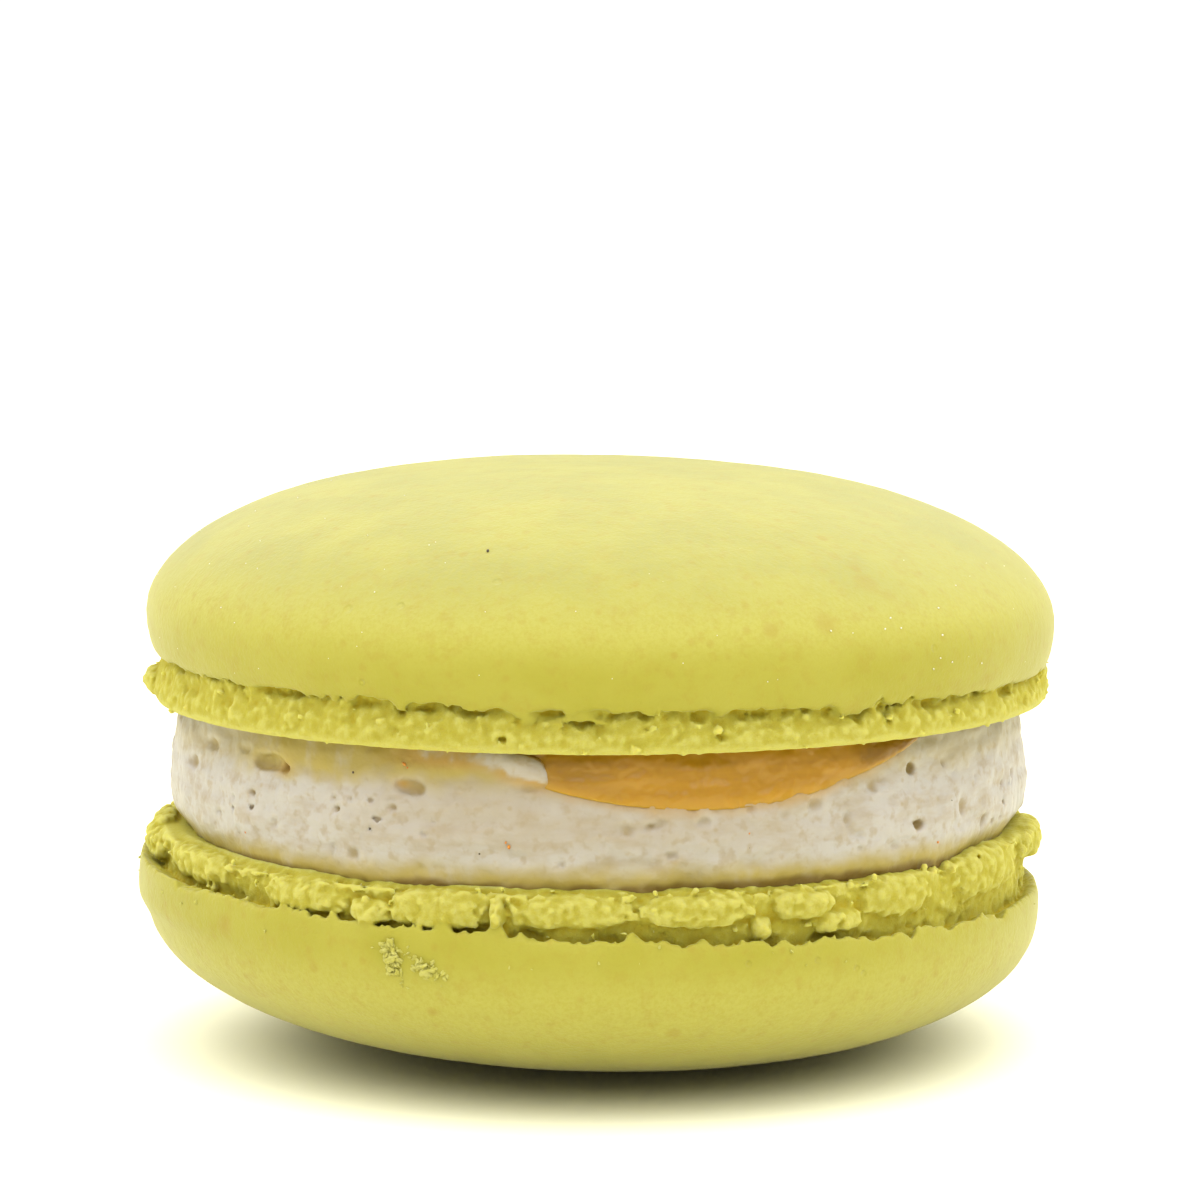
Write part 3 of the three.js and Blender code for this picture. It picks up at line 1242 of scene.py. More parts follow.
    def worked_dough(self) -> Dough:
        """The foot with its lumps, hollows, air bubbles and clinging crumbs."""
        dough = self.dough()
        grid = dough.grid
        draw = np.random.default_rng(self.seed)
        noise = Noise(self.seed + 3)
        points = grid.points()
        rough = noise.lumps(points, self.ROUGHNESS)
        for spot in self.lumps:
            dough.add(spot, self.angle_of(spot.bearing), rough)
        for _ in range(self.crumbs):
            bearing, size = draw.uniform(-180, 180), draw.uniform(0.07, 0.19)
            height = draw.uniform(0.0, 1.0) ** 1.3 * self.foot_height
            radius = self.foot_radius + draw.uniform(-0.3, self.crumb_reach)
            shape = (size, size * draw.uniform(0.6, 1.0), size, radius, draw.uniform(1.1, 2.0))
            spot = Spot(bearing, height + 0.5 * size, *shape)
            dough.add(spot, self.angle_of(bearing), rough, 0.08)
        for _ in range(self.rim_crumbs):
            bearing, size = draw.uniform(-180, 180), draw.uniform(0.06, 0.16)
            height, radius = draw.uniform(0.02, 0.25), self.rim_radius + draw.uniform(-0.6, 0.2)
            height += 0.5 * self.chipping
            shape = (size * draw.uniform(1.0, 2.4), size, size, radius, draw.uniform(1.0, 1.5))
            angle = self.angle_of(bearing)
            if self.brokenness(np.array(angle)) > draw.random():
                dough.add(Spot(bearing, height, *shape), angle, rough, 0.06)
        for spot in self.hollows:
            dough.scoop(spot, self.angle_of(spot.bearing), rough, 0.18)
        for _ in range(self.bubbles):
            bearing, size = draw.uniform(-180, 180), draw.uniform(0.06, 0.15)
            room = self.foot_height - self.rim_height
            height = self.rim_height + draw.uniform(0.0, 1.0) * room
            radius = self.foot_radius - draw.uniform(0.0, 0.8) * self.draw_in
            spot = Spot(bearing, height, size * 1.5, size, size, radius)
            dough.scoop(spot, self.angle_of(bearing), rough, 0.12)
        return dough

    # -- the whole surface

    def ring_points(self, radius: float) -> int:
        """How many points a ring has, so that they are about evenly apart."""
        wanted = FULL_TURN * radius / self.DOME_SPACING
        fitting = [count for count in self.RING_POINTS if count >= 0.8 * wanted]
        return fitting[-1] if fitting else self.RING_POINTS[0]

    def dome_rows(self, first: float) -> Array:
        """Evenly spaced points of the dome's outline.

        Args:
            first: Height of the first one.

        Returns:
            A row for each, with its radius and height where the dome doesn't lean.
        """
        angle = np.linspace(0, math.pi / 2, 4000)
        radius = self.radius * np.cos(angle) ** (2 / self.fullness[0])
        rise = self.full_rise() * np.sin(angle) ** (2 / self.fullness[1])
        height = self.widest_height + rise
        travel = np.concatenate(((0,), np.cumsum(np.hypot(np.diff(radius), np.diff(height)))))
        start = float(np.interp(first, height, travel))
        marks = np.arange(start, travel[-1] - 0.2, self.DOME_SPACING)
        columns = (np.interp(marks, travel, radius), np.interp(marks, travel, height))
        return np.stack(columns, axis=1)

    def surface(self) -> Surface:
        """The closed surface of the shell, flat side down."""
        dough = self.worked_dough()
        surface, bottom, top = Skin(dough).opened()
        noise = Noise(self.seed + 4)
        rings = []
        for radius in self.FLAT_RINGS:
            angles = even_turns(self.ring_points(radius))
            rings.append((angles, radius, 0.03 * noise(circular(angles, radius, 0.0), 2.0)))
        surface.close_below(rings, (0, 0, 0), bottom)
        self.add_dome(surface, top, dough.grid.high)
        return surface

    def add_dome(self, surface: Surface, last: Loop, low: float) -> None:
        """Adds the cap's skin above the grid, and closes it.

        Args:
            surface: The surface.
            last: Its upper rim.
            low: The rim's height.
        """
        start = max(low, self.widest_height) + 0.45 + abs(self.dome_lean) * self.radius
        angles = even_turns(self.RING_POINTS[0])
        across = self.radius * np.cos(angles)
        for share in (0.33, 0.66):
            height = low + share * (start + self.dome_lean * across - low)
            radius = self.skin_radius(height, across)
            out = self.relief(circular(angles, radius, height))
            last = surface.grow(last, angles, radius + out, height)
        outline = self.dome_rows(start)
        slopes = np.gradient(outline, axis=0)
        slopes /= np.linalg.norm(slopes, axis=1, keepdims=True)
        top = self.widest_height + self.dome_height
        ceiling = top if self.crown_radius else math.inf
        for (radius, height), (inwards, up) in zip(outline, slopes):
            angles = even_turns(self.ring_points(radius))
            across = radius * np.cos(angles)
            level = np.minimum(height + self.dome_lean * across, ceiling)
            out = self.relief(circular(angles, radius, level)) * ease((ceiling - level) / 0.3)
            wide = radius + self.skirt_flare(level, across)
            last = surface.grow(last, angles, wide + out * up, level - out * inwards)
        surface.close(last, (0, 0, top), ends_it=True)

    def placed(self, points: Array) -> Array:
        """Points of the baked shell, where they are in the macaron."""
        turned = points * (1, self.side.value, self.side.value)
        return turned + (self.axis[0], self.axis[1], self.flat_height)

    def measures(self, surface: Surface) -> dict[str, Array]:
        """What the finish reads.

        Args:
            surface: The baked shell.

        Returns:
            foot, which is 1 on the foot and 0 on the cap; depth, which is how far a point of the
            foot lies in its hollows; crease, which is the same for the finest of them, both of
            which the finish turns into painted shade in hollows and creases and painted highlight
            where the foot stands out; skirt, which is 1 on the cap's lower part, where shade is
            painted;
            and crown_light_shade, which is 1 on its upper part, where the upper shell gets painted
            sheen and the lower shell painted shade.
        """
        points = surface.points
        angle = np.arctan2(points[:, 1], points[:, 0])
        radius = np.hypot(points[:, 0], points[:, 1])
        skin = self.skin_radius(points[:, 2], points[:, 0])
        below = self.torn_edge(angle) + 0.1 - points[:, 2]
        foot = np.maximum(ease(below / 0.2), ease((skin - radius - 0.25) / 0.2))
        foot = np.where(points[:, 2] > self.grid().high - 0.3, 0, foot)
        # depth and crease place the foot's painted shade and painted highlight.
        depth = np.clip((self.foot_radius - 0.35 - radius) / 1.1, 0, 1) * foot
        depth = np.where(points[:, 2] < 0.2, 0, depth)
        above = points[:, 2] - self.widest_height
        # skirt and crown_light_shade mark where the finish paints shade on the cap's lower band,
        # and sheen or shade on the dome's far part.
        skirt, crown_light_shade = ease((1.9 - above) / 2.6), ease((above - self.crown_start) / 3.6)
        crease = (surface.crease(5) + 0.4 * surface.crease(30)) * foot
        return {"foot": foot, "depth": depth, "crease": crease, "skirt": skirt, "crown_light_shade": crown_light_shade}

    def build(self, finish: ShellFinish) -> bpy.types.Object:
        """Builds the shell and dresses it.

        Args:
            finish: Its finish.

        Returns:
            The piece.
        """
        surface = self.surface()
        measures = self.measures(surface)
        surface.points = self.placed(surface.points)
        piece = surface.mesh(self.name, measures)
        dress(piece, finish.material(self.name + "_meringue"))
        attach(piece, "root")
        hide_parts(self.node)
        LOG.info("%s: %d faces", self.name, len(piece.data.polygons))
        return piece


def upper_shell() -> Shell:
    """The upper shell, whose foot has a smooth rim and a groove under the torn edge."""
    # bearing, width
    groove_pockets = (
        (-42.5, 2.8), (-28.7, 1.8), (-20.8, 1.8), (-12.3, 1.0), (-6.1, 1.9), (-0.3, 1.3),
        (12.1, 1.8), (18.7, 2.6), (28.4, 1.0), (36.9, 0.8), (43.9, 1.7), (61.6, 2.0), (-68.0, 1.6),
    )
    # bearing, height, half height
    face_pits = (
        (-53.0, 1.3, 0.3), (-25.2, 0.9, 0.2), (-11.5, 0.72, 0.16), (14.6, 0.75, 0.14),
    )
    deep = tuple(
        Spot(bearing, 1.85 - 0.0063 * bearing, width / 2, 0.26, 0.5, 22.5, 2.2)
        for bearing, width in groove_pockets
    ) + (Spot(-63.0, 1.6, 1.6, 0.5, 0.4, 22.6), Spot(66.0, 0.9, 1.0, 0.4, 0.25, 22.6))
    shallow = tuple(
        Spot(bearing, height, 1.5 * size, size, 0.2, 22.5) for bearing, height, size in face_pits
    )
    return Shell(
        name="upper_shell",
        node="shell_upper",
        side=Side.DOME_UP,
        axis=(0.014, 0.0137),
        flat_height=17.8,
        radius=23.0,
        dome_height=7.61,
        widest_height=4.13,
        dome_lean=-0.014,
        fullness=(2.55, 1.93),
        crown_radius=0.0,
        crown_start=0.8,
        foot_height=2.0,
        foot_lean=-0.016,
        foot_radius=22.6,
        edge_radius=22.55,
        rim_height=0.6,
        draw_in=0.35,
        groove=0.4,
        groove_height=0.3,
        raggedness=1.0,
        flare=0.0,
        chipping=0.06,
        crumb_reach=0.05,
        puffiness=1.3,
        teeth=(
            Tooth(-38.2, 0.5, 0.2), Tooth(-35.9, 0.4, 0.2), Tooth(-33.7, 0.4, 0.2),
            Tooth(-31.6, 0.5, 0.25), Tooth(-29.6, 0.9, -0.25), Tooth(-24.7, 0.7, 0.35),
            Tooth(-21.0, 1.6, -0.12), Tooth(-15.0, 1.4, 0.15), Tooth(-4.8, 5.0, 0.5),
            Tooth(-8.4, 0.6, 0.2), Tooth(0.0, 0.6, 0.25), Tooth(14.2, 1.4, 0.3),
            Tooth(30.7, 2.4, 0.45), Tooth(35.6, 0.5, -0.35), Tooth(37.2, 0.5, 0.55),
            Tooth(40.5, 0.6, -0.3), Tooth(46.0, 0.8, 0.2),
        ),
        lumps=(
            Spot(-86, 0.85, 1.8, 0.7, 0.8, 22.35),
            Spot(84, 1.0, 1.8, 0.9, 0.7, 21.9, 4.0),
        ),
        hollows=deep + shallow,
        bubbles=30,
        crumbs=400,
        rim_crumbs=260,
        rim_radius=22.35,
        seed=11,
    )


def lower_shell() -> Shell:
    """The lower shell, whose foot has broken into chunks with caves behind them."""
    # bearing, height, half width, half height, depth
    caves = (
        (-59.5, 1.5, 1.3, 0.4, 0.6), (-45.0, 1.7, 0.8, 0.28, 0.7), (-28.0, 0.25, 0.9, 0.28, 0.8),
        (-12.9, 1.2, 0.16, 0.8, 0.4), (-10.3, 1.3, 0.14, 0.7, 0.4), (-6.8, 2.1, 0.65, 0.26, 0.7),
        (-2.8, 1.75, 0.38, 0.14, 0.5), (1.0, 1.95, 0.7, 0.16, 0.6), (7.5, 2.05, 0.8, 0.35, 0.8),
        (13.0, 2.35, 0.95, 0.22, 0.7), (25.0, 2.2, 0.95, 0.6, 1.1), (37.5, 2.75, 0.4, 0.22, 0.6),
        (42.0, 2.8, 0.45, 0.36, 0.7), (46.0, 2.5, 0.5, 0.35, 0.7), (52.0, 2.75, 0.5, 0.35, 0.7),
        (58.0, 3.0, 0.3, 0.25, 0.6), (66.0, 2.3, 0.45, 0.6, 0.9),
    )
    # bearing, height, half width, half height, radius of its outer side
    chunks = (
        (-62.0, 0.9, 3.6, 0.8, 22.3), (-38.5, 1.15, 2.6, 0.8, 22.45), (-28.0, 1.5, 1.1, 0.6, 22.65),
        (-19.2, 1.2, 2.5, 0.9, 22.5), (-11.5, 1.1, 0.3, 0.6, 22.75), (-2.3, 1.12, 3.0, 0.78, 22.5),
        (12.6, 1.1, 2.7, 0.78, 22.65), (21.0, 2.1, 0.5, 0.6, 22.4), (26.6, 1.1, 1.6, 0.7, 22.75),
        (31.5, 2.0, 1.3, 0.6, 22.5), (41.0, 1.25, 2.3, 1.05, 22.4), (62.0, 1.1, 4.0, 1.2, 22.35),
        (82.0, 0.66, 3.4, 0.85, 22.75),
    )
    left_crag = Spot(-87.0, 0.35, 2.4, 0.75, 0.6, 21.75, 2.7)
    chunk_depth, chunk_squareness = 0.95, 2.7
    cave_radius = 22.7
    caves_behind = 26
    row_radius = 22.5  # at which the chunks behind stand side by side
    row_start, row_end = 95.0, 278.0
    draw = np.random.default_rng(291)
    behind = []
    bearing = row_start
    while bearing < row_end:
        half = draw.uniform(1.0, 3.2)
        bearing += math.degrees(half / row_radius)
        height, up = draw.uniform(0.85, 1.2), draw.uniform(0.7, 1.0)
        behind.append((bearing, height, half, up, draw.uniform(22.25, 22.7)))
        bearing += math.degrees((half + draw.uniform(0.0, 0.5)) / row_radius)
    lumps = tuple(
        Spot(bearing, height, half, up, 1.0, outer - chunk_depth, chunk_squareness)
        for bearing, height, half, up, outer in chunks + tuple(behind)
    )
    hollows = [
        Spot(bearing, height, across, 0.8 * up, 0.65 * deep, cave_radius, 2.2)
        for bearing, height, across, up, deep in caves
    ]
    for _ in range(caves_behind):
        bearing = draw.uniform(72, 288)
        height = 2.1 + 0.85 * math.sin(math.radians(bearing))
        across, up = draw.uniform(0.3, 1.1), draw.uniform(0.2, 0.5)
        deep = draw.uniform(0.6, 1.2)
        hollows.append(Spot(bearing, height, across, up, deep, cave_radius, 2.4))
    return Shell(
        name="lower_shell",
        node="shell_lower",
        side=Side.DOME_DOWN,
        axis=(-0.376, 0.0137),
        flat_height=11.5,
        radius=22.74,
        dome_height=7.81,
        widest_height=3.69,
        dome_lean=0.022,
        fullness=(2.18, 2.35),
        crown_radius=6.0,
        crown_start=2.6,
        foot_height=2.32,
        foot_lean=0.038,
        foot_radius=22.05,
        edge_radius=22.6,
        rim_height=0.1,
        draw_in=0.2,
        groove=0.26,
        groove_height=0.3,
        raggedness=1.4,
        flare=0.42,
        chipping=0.62,
        crumb_reach=0.3,
        puffiness=1.2,
        teeth=(
            Tooth(-33.0, 0.5, 0.27), Tooth(-18.0, 0.8, 0.37), Tooth(-11.5, 0.9, 0.6),
            Tooth(-8.4, 0.5, 0.3), Tooth(5.0, 0.8, 0.4), Tooth(8.4, 0.4, 0.25),
            Tooth(11.0, 0.6, -0.2), Tooth(13.2, 0.6, 0.3), Tooth(22.0, 0.8, -0.25),
            Tooth(25.5, 1.0, -0.25), Tooth(37.0, 1.4, -0.2), Tooth(42.5, 0.6, -0.35),
            Tooth(49.5, 1.0, -0.3), Tooth(57.5, 0.5, 0.25), Tooth(62.0, 1.6, -0.35),
        ),
        lumps=lumps + (left_crag,),
        hollows=tuple(hollows),
        bubbles=40,
        crumbs=500,
        rim_crumbs=900,
        rim_radius=22.0,
        seed=29,
    )


# ---- Filling -------------------------------------------------------------------------------------


@dataclass(frozen=True)
class Bowl:
    """The oval hollow in the cream that the curd fills, level with the cream's top at its rim."""

    half_length: float = 20.0
    half_width: float = 12.6
    depth: float = 3.84
    outwards: float = 10.0
    bearing: float = 14.0
    top: float = 17.8

    def middle(self) -> tuple[float, float]:
        """Where the bowl is deepest, from the filling's axis."""
        angle = math.radians(self.bearing - 90)
        return self.outwards * math.cos(angle), self.outwards * math.sin(angle)

    def share(self, x: Array, y: Array) -> Array:
        """Distance from the bowl's middle as a share of the way to its rim."""
        angle = math.radians(self.bearing)
        out = math.sin(angle) * x - math.cos(angle) * y - self.outwards
        side = math.cos(angle) * x + math.sin(angle) * y
        return np.hypot(out / self.half_length, side / self.half_width)

    def floor(self, x: Array, y: Array) -> Array:
        """Height of the bowl's surface, or of the cream's top outside it."""
        return self.top - self.depth * np.clip(1 - self.share(x, y) ** 2, 0, 1)


@dataclass(frozen=True)
class Cream:
    """The disc of buttercream, with a bowl for the curd."""

    name: str = "whipped_buttercream"
    node: str = "buttercream"
    axis: tuple[float, float] = (-0.156, 0.0137)
    bottom: float = 11.45
    bowl: Bowl = Bowl()
    profile: tuple[tuple[float, float], ...] = (
        (11.0, 21.3), (11.5, 21.42), (11.9, 21.55), (12.5, 21.66), (13.2, 21.72), (14.0, 21.74),
        (15.2, 21.62), (16.3, 21.42), (17.2, 21.3), (17.85, 21.2),
    )
    tuck: float = 0.5  # how far the bottom edge draws in at the left and right
    overlap: float = 0.42  # how far the bottom edge hangs over the lower shell's broken rim
    # bearing, height, half width, half height, depth
    pits: tuple[tuple[float, float, float, float, float], ...] = (
        (-47.3, 16.32, 1.15, 0.45, 0.38), (-44.2, 16.15, 0.4, 0.25, 0.7),
        (-24.1, 15.9, 0.8, 0.4, 0.3), (-32.4, 15.13, 0.12, 0.16, 0.2),
        (-47.2, 14.19, 0.12, 0.14, 0.15), (-20.8, 14.36, 0.12, 0.14, 0.15),
        (-32.1, 12.55, 0.3, 0.24, 0.2), (3.6, 14.16, 0.4, 0.3, 0.2), (6.7, 14.3, 0.5, 0.14, 0.2),
        (13.4, 14.5, 0.35, 0.22, 0.2), (28.4, 14.93, 0.4, 0.3, 0.2),
        (33.1, 14.21, 0.22, 0.25, 0.25), (33.8, 13.6, 0.2, 0.35, 0.12),
        (45.1, 13.46, 0.38, 0.24, 0.45), (44.6, 16.14, 0.3, 0.26, 0.35),
        (51.2, 16.2, 0.2, 0.2, 0.15), (60.7, 12.84, 0.3, 0.4, 0.2),
        (40.7, 12.59, 0.25, 0.12, 0.12), (3.6, 12.57, 1.3, 0.4, 0.12),
        (20.0, 12.3, 0.9, 0.35, 0.12), (-52.5, 16.75, 0.5, 0.25, 0.15),
        (-7.5, 16.1, 0.9, 0.14, 0.1), (-62.0, 16.6, 0.9, 0.3, 0.2), (37.5, 15.7, 0.6, 0.4, 0.15),
        (24.0, 14.6, 0.25, 0.25, 0.12), (40.0, 14.9, 0.25, 0.25, 0.12),
        (55.0, 14.2, 0.3, 0.4, 0.12),
    )
    # bearing, height, half width, half height, how far it stands out
    fold: tuple[tuple[float, float, float, float, float], ...] = (
        (-21.5, 17.5, 1.8, 0.5, 0.03), (-18.0, 17.3, 1.8, 0.7, 0.03), (-14.5, 17.1, 1.8, 0.9, 0.03),
        (-11.5, 16.9, 1.6, 0.9, 0.03), (-9.3, 16.6, 1.2, 0.7, 0.02), (-12.9, 17.6, 0.7, 0.24, 0.12),
        (-11.4, 17.45, 0.75, 0.3, 0.2), (-9.9, 17.25, 0.75, 0.38, 0.24),
        (-8.6, 16.98, 0.65, 0.4, 0.22), (-7.4, 16.7, 0.5, 0.38, 0.2),
        (-6.6, 16.45, 0.36, 0.3, 0.12),
    )
    fold_depth: float = 0.3
    seed: int = 53

    SPACING = 0.125
    TURNS = 1080
    INNER = 20.0
    OUTER = 22.8
    FACE = 21.6  # about the radius of its side
    FLOOR_RINGS = ((4.0, 48), (8.0, 96), (12.0, 144), (15.5, 200), (18.5, 280))  # radius, points
    TOP_RINGS = (19.6, 19.0, 18.0, 17.0, 15.5, 14.0, 12.0, 10.0, 8.0, 6.0, 4.0, 2.0)  # radius
    FINE_HOLES = 220

    # Noise, as sizes and strengths in mm.
    LUMPS = ((5.0, 0.14), (2.0, 0.08), (0.9, 0.045))
    PUFFS = ((0.8, 0.03), (0.4, 0.022))
    ROUGHNESS = ((0.9, 0.07), (0.4, 0.04))  # of what is added or scooped out

    def angle_of(self, bearing: float) -> float:
        """A bearing's angle on the grid, in radians."""
        return math.radians(bearing - 90)

    def side_radius(self, points: Array) -> Array:
        """Radius of the cream's side, before its pits."""
        noise = Noise(self.seed)
        heights, radii = zip(*self.profile)
        height = points[..., 2]
        even = np.interp(height, heights, radii)
        sideways = np.abs(points[..., 0]) / np.hypot(points[..., 0], points[..., 1])
        even = even - self.tuck * ease((sideways - 0.72) / 0.25) * ease((12.9 - height) / 1.4)
        whipped = noise.puffs(points, self.PUFFS)
        smears = 0.05 * noise(points, (3.5, 3.5, 0.7))
        return even + noise.lumps(points, self.LUMPS) + whipped + smears

    def side_at(self, bearing: float, height: float, near: float) -> float:
        """Radius of the cream's side at a place, where it is about the one given."""
        angle = np.array(self.angle_of(bearing))
        return float(self.side_radius(circular(angle, near, height)))

    def dough(self) -> Dough:
        """The cream on its grid, with its pits and the fold at the curd's left end."""
        low, high = self.bottom - 0.6, self.bowl.top + 0.3
        grid = RingGrid(self.INNER, self.OUTER, low, high, self.SPACING, self.TURNS)
        points = grid.points()
        radius = grid.radii[None, :, None]
        top = self.bowl.floor(points[..., 0], points[..., 1])
        top = np.where(top < self.bowl.top - 0.01, top, self.bowl.top + 0.02)
        side = self.side_radius(points) - radius
        wobble = 0.06 * Noise(self.seed + 1)(points, 0.9)
        bottom = self.bottom - self.overlap * ease((radius - 20.8) / 0.4)
        level = np.minimum(top - points[..., 2] + wobble, points[..., 2] - bottom)
        dough = Dough(grid, -blend_max(-side, -level, 0.04).astype(np.float32))
        rough = Noise(self.seed + 2).lumps(points, self.ROUGHNESS)
        for bearing, height, across, up, proud in self.fold:
            middle = self.side_at(bearing, height, 21.3) + proud - self.fold_depth
            spot = Spot(bearing, height, across, up, self.fold_depth, middle)
            dough.add(spot, self.angle_of(bearing), 0.5 * rough, 0.2)
        for bearing, height, across, up, depth in self.pits:
            middle = self.side_at(bearing, height, self.FACE)
            spot = Spot(bearing, height, across, up, depth, middle)
            dough.scoop(spot, self.angle_of(bearing), rough, 0.15)
        draw = np.random.default_rng(self.seed)
        for _ in range(self.FINE_HOLES):
            bearing, height = draw.uniform(-180, 180), draw.uniform(12, 17.4)
            large = abs(bearing) > 65 and draw.random() < 0.12
            size = draw.uniform(0.2, 0.4) if large else draw.uniform(0.07, 0.14)
            across = size * draw.uniform(1.0, 2.0)
            spot = Spot(bearing, height, across, size, 0.8 * size, self.FACE)
            dough.scoop(spot, self.angle_of(bearing), rough, 0.15)
        return dough

    def surface(self) -> Surface:
        """The closed surface of the cream, about its own axis."""
        surface, bottom, last = Skin(self.dough()).opened()
        rings = [(even_turns(count), radius, self.bottom) for radius, count in self.FLOOR_RINGS]
        surface.close_below(rings, (0, 0, self.bottom), bottom)
        for radius in self.TOP_RINGS:
            angles = even_turns(max(24, round(15 * radius)))
            plan = circular(angles, radius, 0.0)
            last = surface.grow(last, angles, radius, self.bowl.floor(plan[:, 0], plan[:, 1]))
        surface.close(last, (0, 0, float(self.bowl.floor(0.0, 0.0))), ends_it=True)
        return surface

    def measures(self, points: Array) -> dict[str, Array]:
        """What the finish reads.

        Args:
            points: The cream's points about its own axis.

        Returns:
            hollow, painted shade in the pits; soak_and_shade, painted shade with a curd tint in the
            middle of the front; shell_stain_and_shade, a stain next to the shells with painted
            shade at the bottom and under the rim; curd_stain, next to the curd; and crease_shade,
            painted shade in the crease above the lower shell.
        """
        x, y, z = points.T
        radius = np.hypot(x, y)
        bearing = bearings(x, y)
        noise = Noise(self.seed + 5)
        patchy = noise.lumps(points, ((2.2, 0.5), (0.8, 0.4)))
        sunk = self.side_radius(points) - radius
        at_side = ease((radius - 20.6) / 0.3)
        # hollow: painted shade in the pits, growing with their depth.
        hollow = ease((sunk - 0.03) / 0.3)
        # Painted shade in the middle of the front, with a curd tint.
        soak_and_shade = np.exp(-(((bearing + 2) / 30) ** 4)) * ease((z - 12.0) / 2.5)
        # A real yellow stain from the shells, with painted shade where the cream curls under at the
        # bottom and under the upper shell's rim.
        low = ease((12.9 + 0.4 * patchy - z) / 1.3)
        high = ease((z - 15.4 - 0.8 * patchy) / 1.4)
        left = ease((-bearing - 6) / 12) * ease((62 + bearing) / 18)
        shell_stain_and_shade = (low + (0.35 + 0.65 * left) * high) * at_side
        above_bowl = z - self.bowl.floor(x, y)
        in_bowl = ease((0.98 - self.bowl.share(x, y)) / 0.1)
        curd_stain = ease((above_bowl + 0.8 + 0.3 * patchy) / 0.85) * in_bowl
        wash = ease((z - 16.6) / 0.7) * ease((bearing + 33) / 14) * ease((-11.5 - bearing) / 1.5)
        in_pit = np.exp(-(((bearing + 44.2) / 1.2) ** 2) - ((z - 16.15) / 0.28) ** 2)
        in_second = np.exp(-(((bearing + 25.4) / 0.9) ** 2) - ((z - 16.0) / 0.2) ** 2)
        curd_stain = np.maximum(0.8 * curd_stain, 0.9 * np.maximum(wash, in_pit + in_second))
        proud = 0.1 + 0.9 * ease((0.18 + sunk) / 0.12)
        # Painted shade in the crease where the cream meets the lower shell.
        crease_shade = ease((11.75 + 0.25 * patchy - z) / 0.4) * ease((0.6 + patchy) / 0.6)
        return {
            "hollow": hollow * at_side,
            "soak_and_shade": soak_and_shade * (0.5 + 0.35 * patchy) * at_side * proud,
            "shell_stain_and_shade": shell_stain_and_shade * proud,
            "curd_stain": curd_stain * proud,
            "crease_shade": 0.9 * crease_shade,
        }

    def build(self, finish: CreamFinish) -> bpy.types.Object:
        """Builds the cream and dresses it.

        Args:
            finish: Its finish.

        Returns:
            The piece.
        """
        surface = self.surface()
        measures = self.measures(surface.points)
        surface.points = surface.points + (self.axis[0], self.axis[1], 0)
        piece = surface.mesh(self.name, measures)
        dress(piece, finish.material("buttercream_cream"))
        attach(piece, "root")
        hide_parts(self.node)
        LOG.info("%s: %d faces", self.name, len(piece.data.polygons))
        return piece


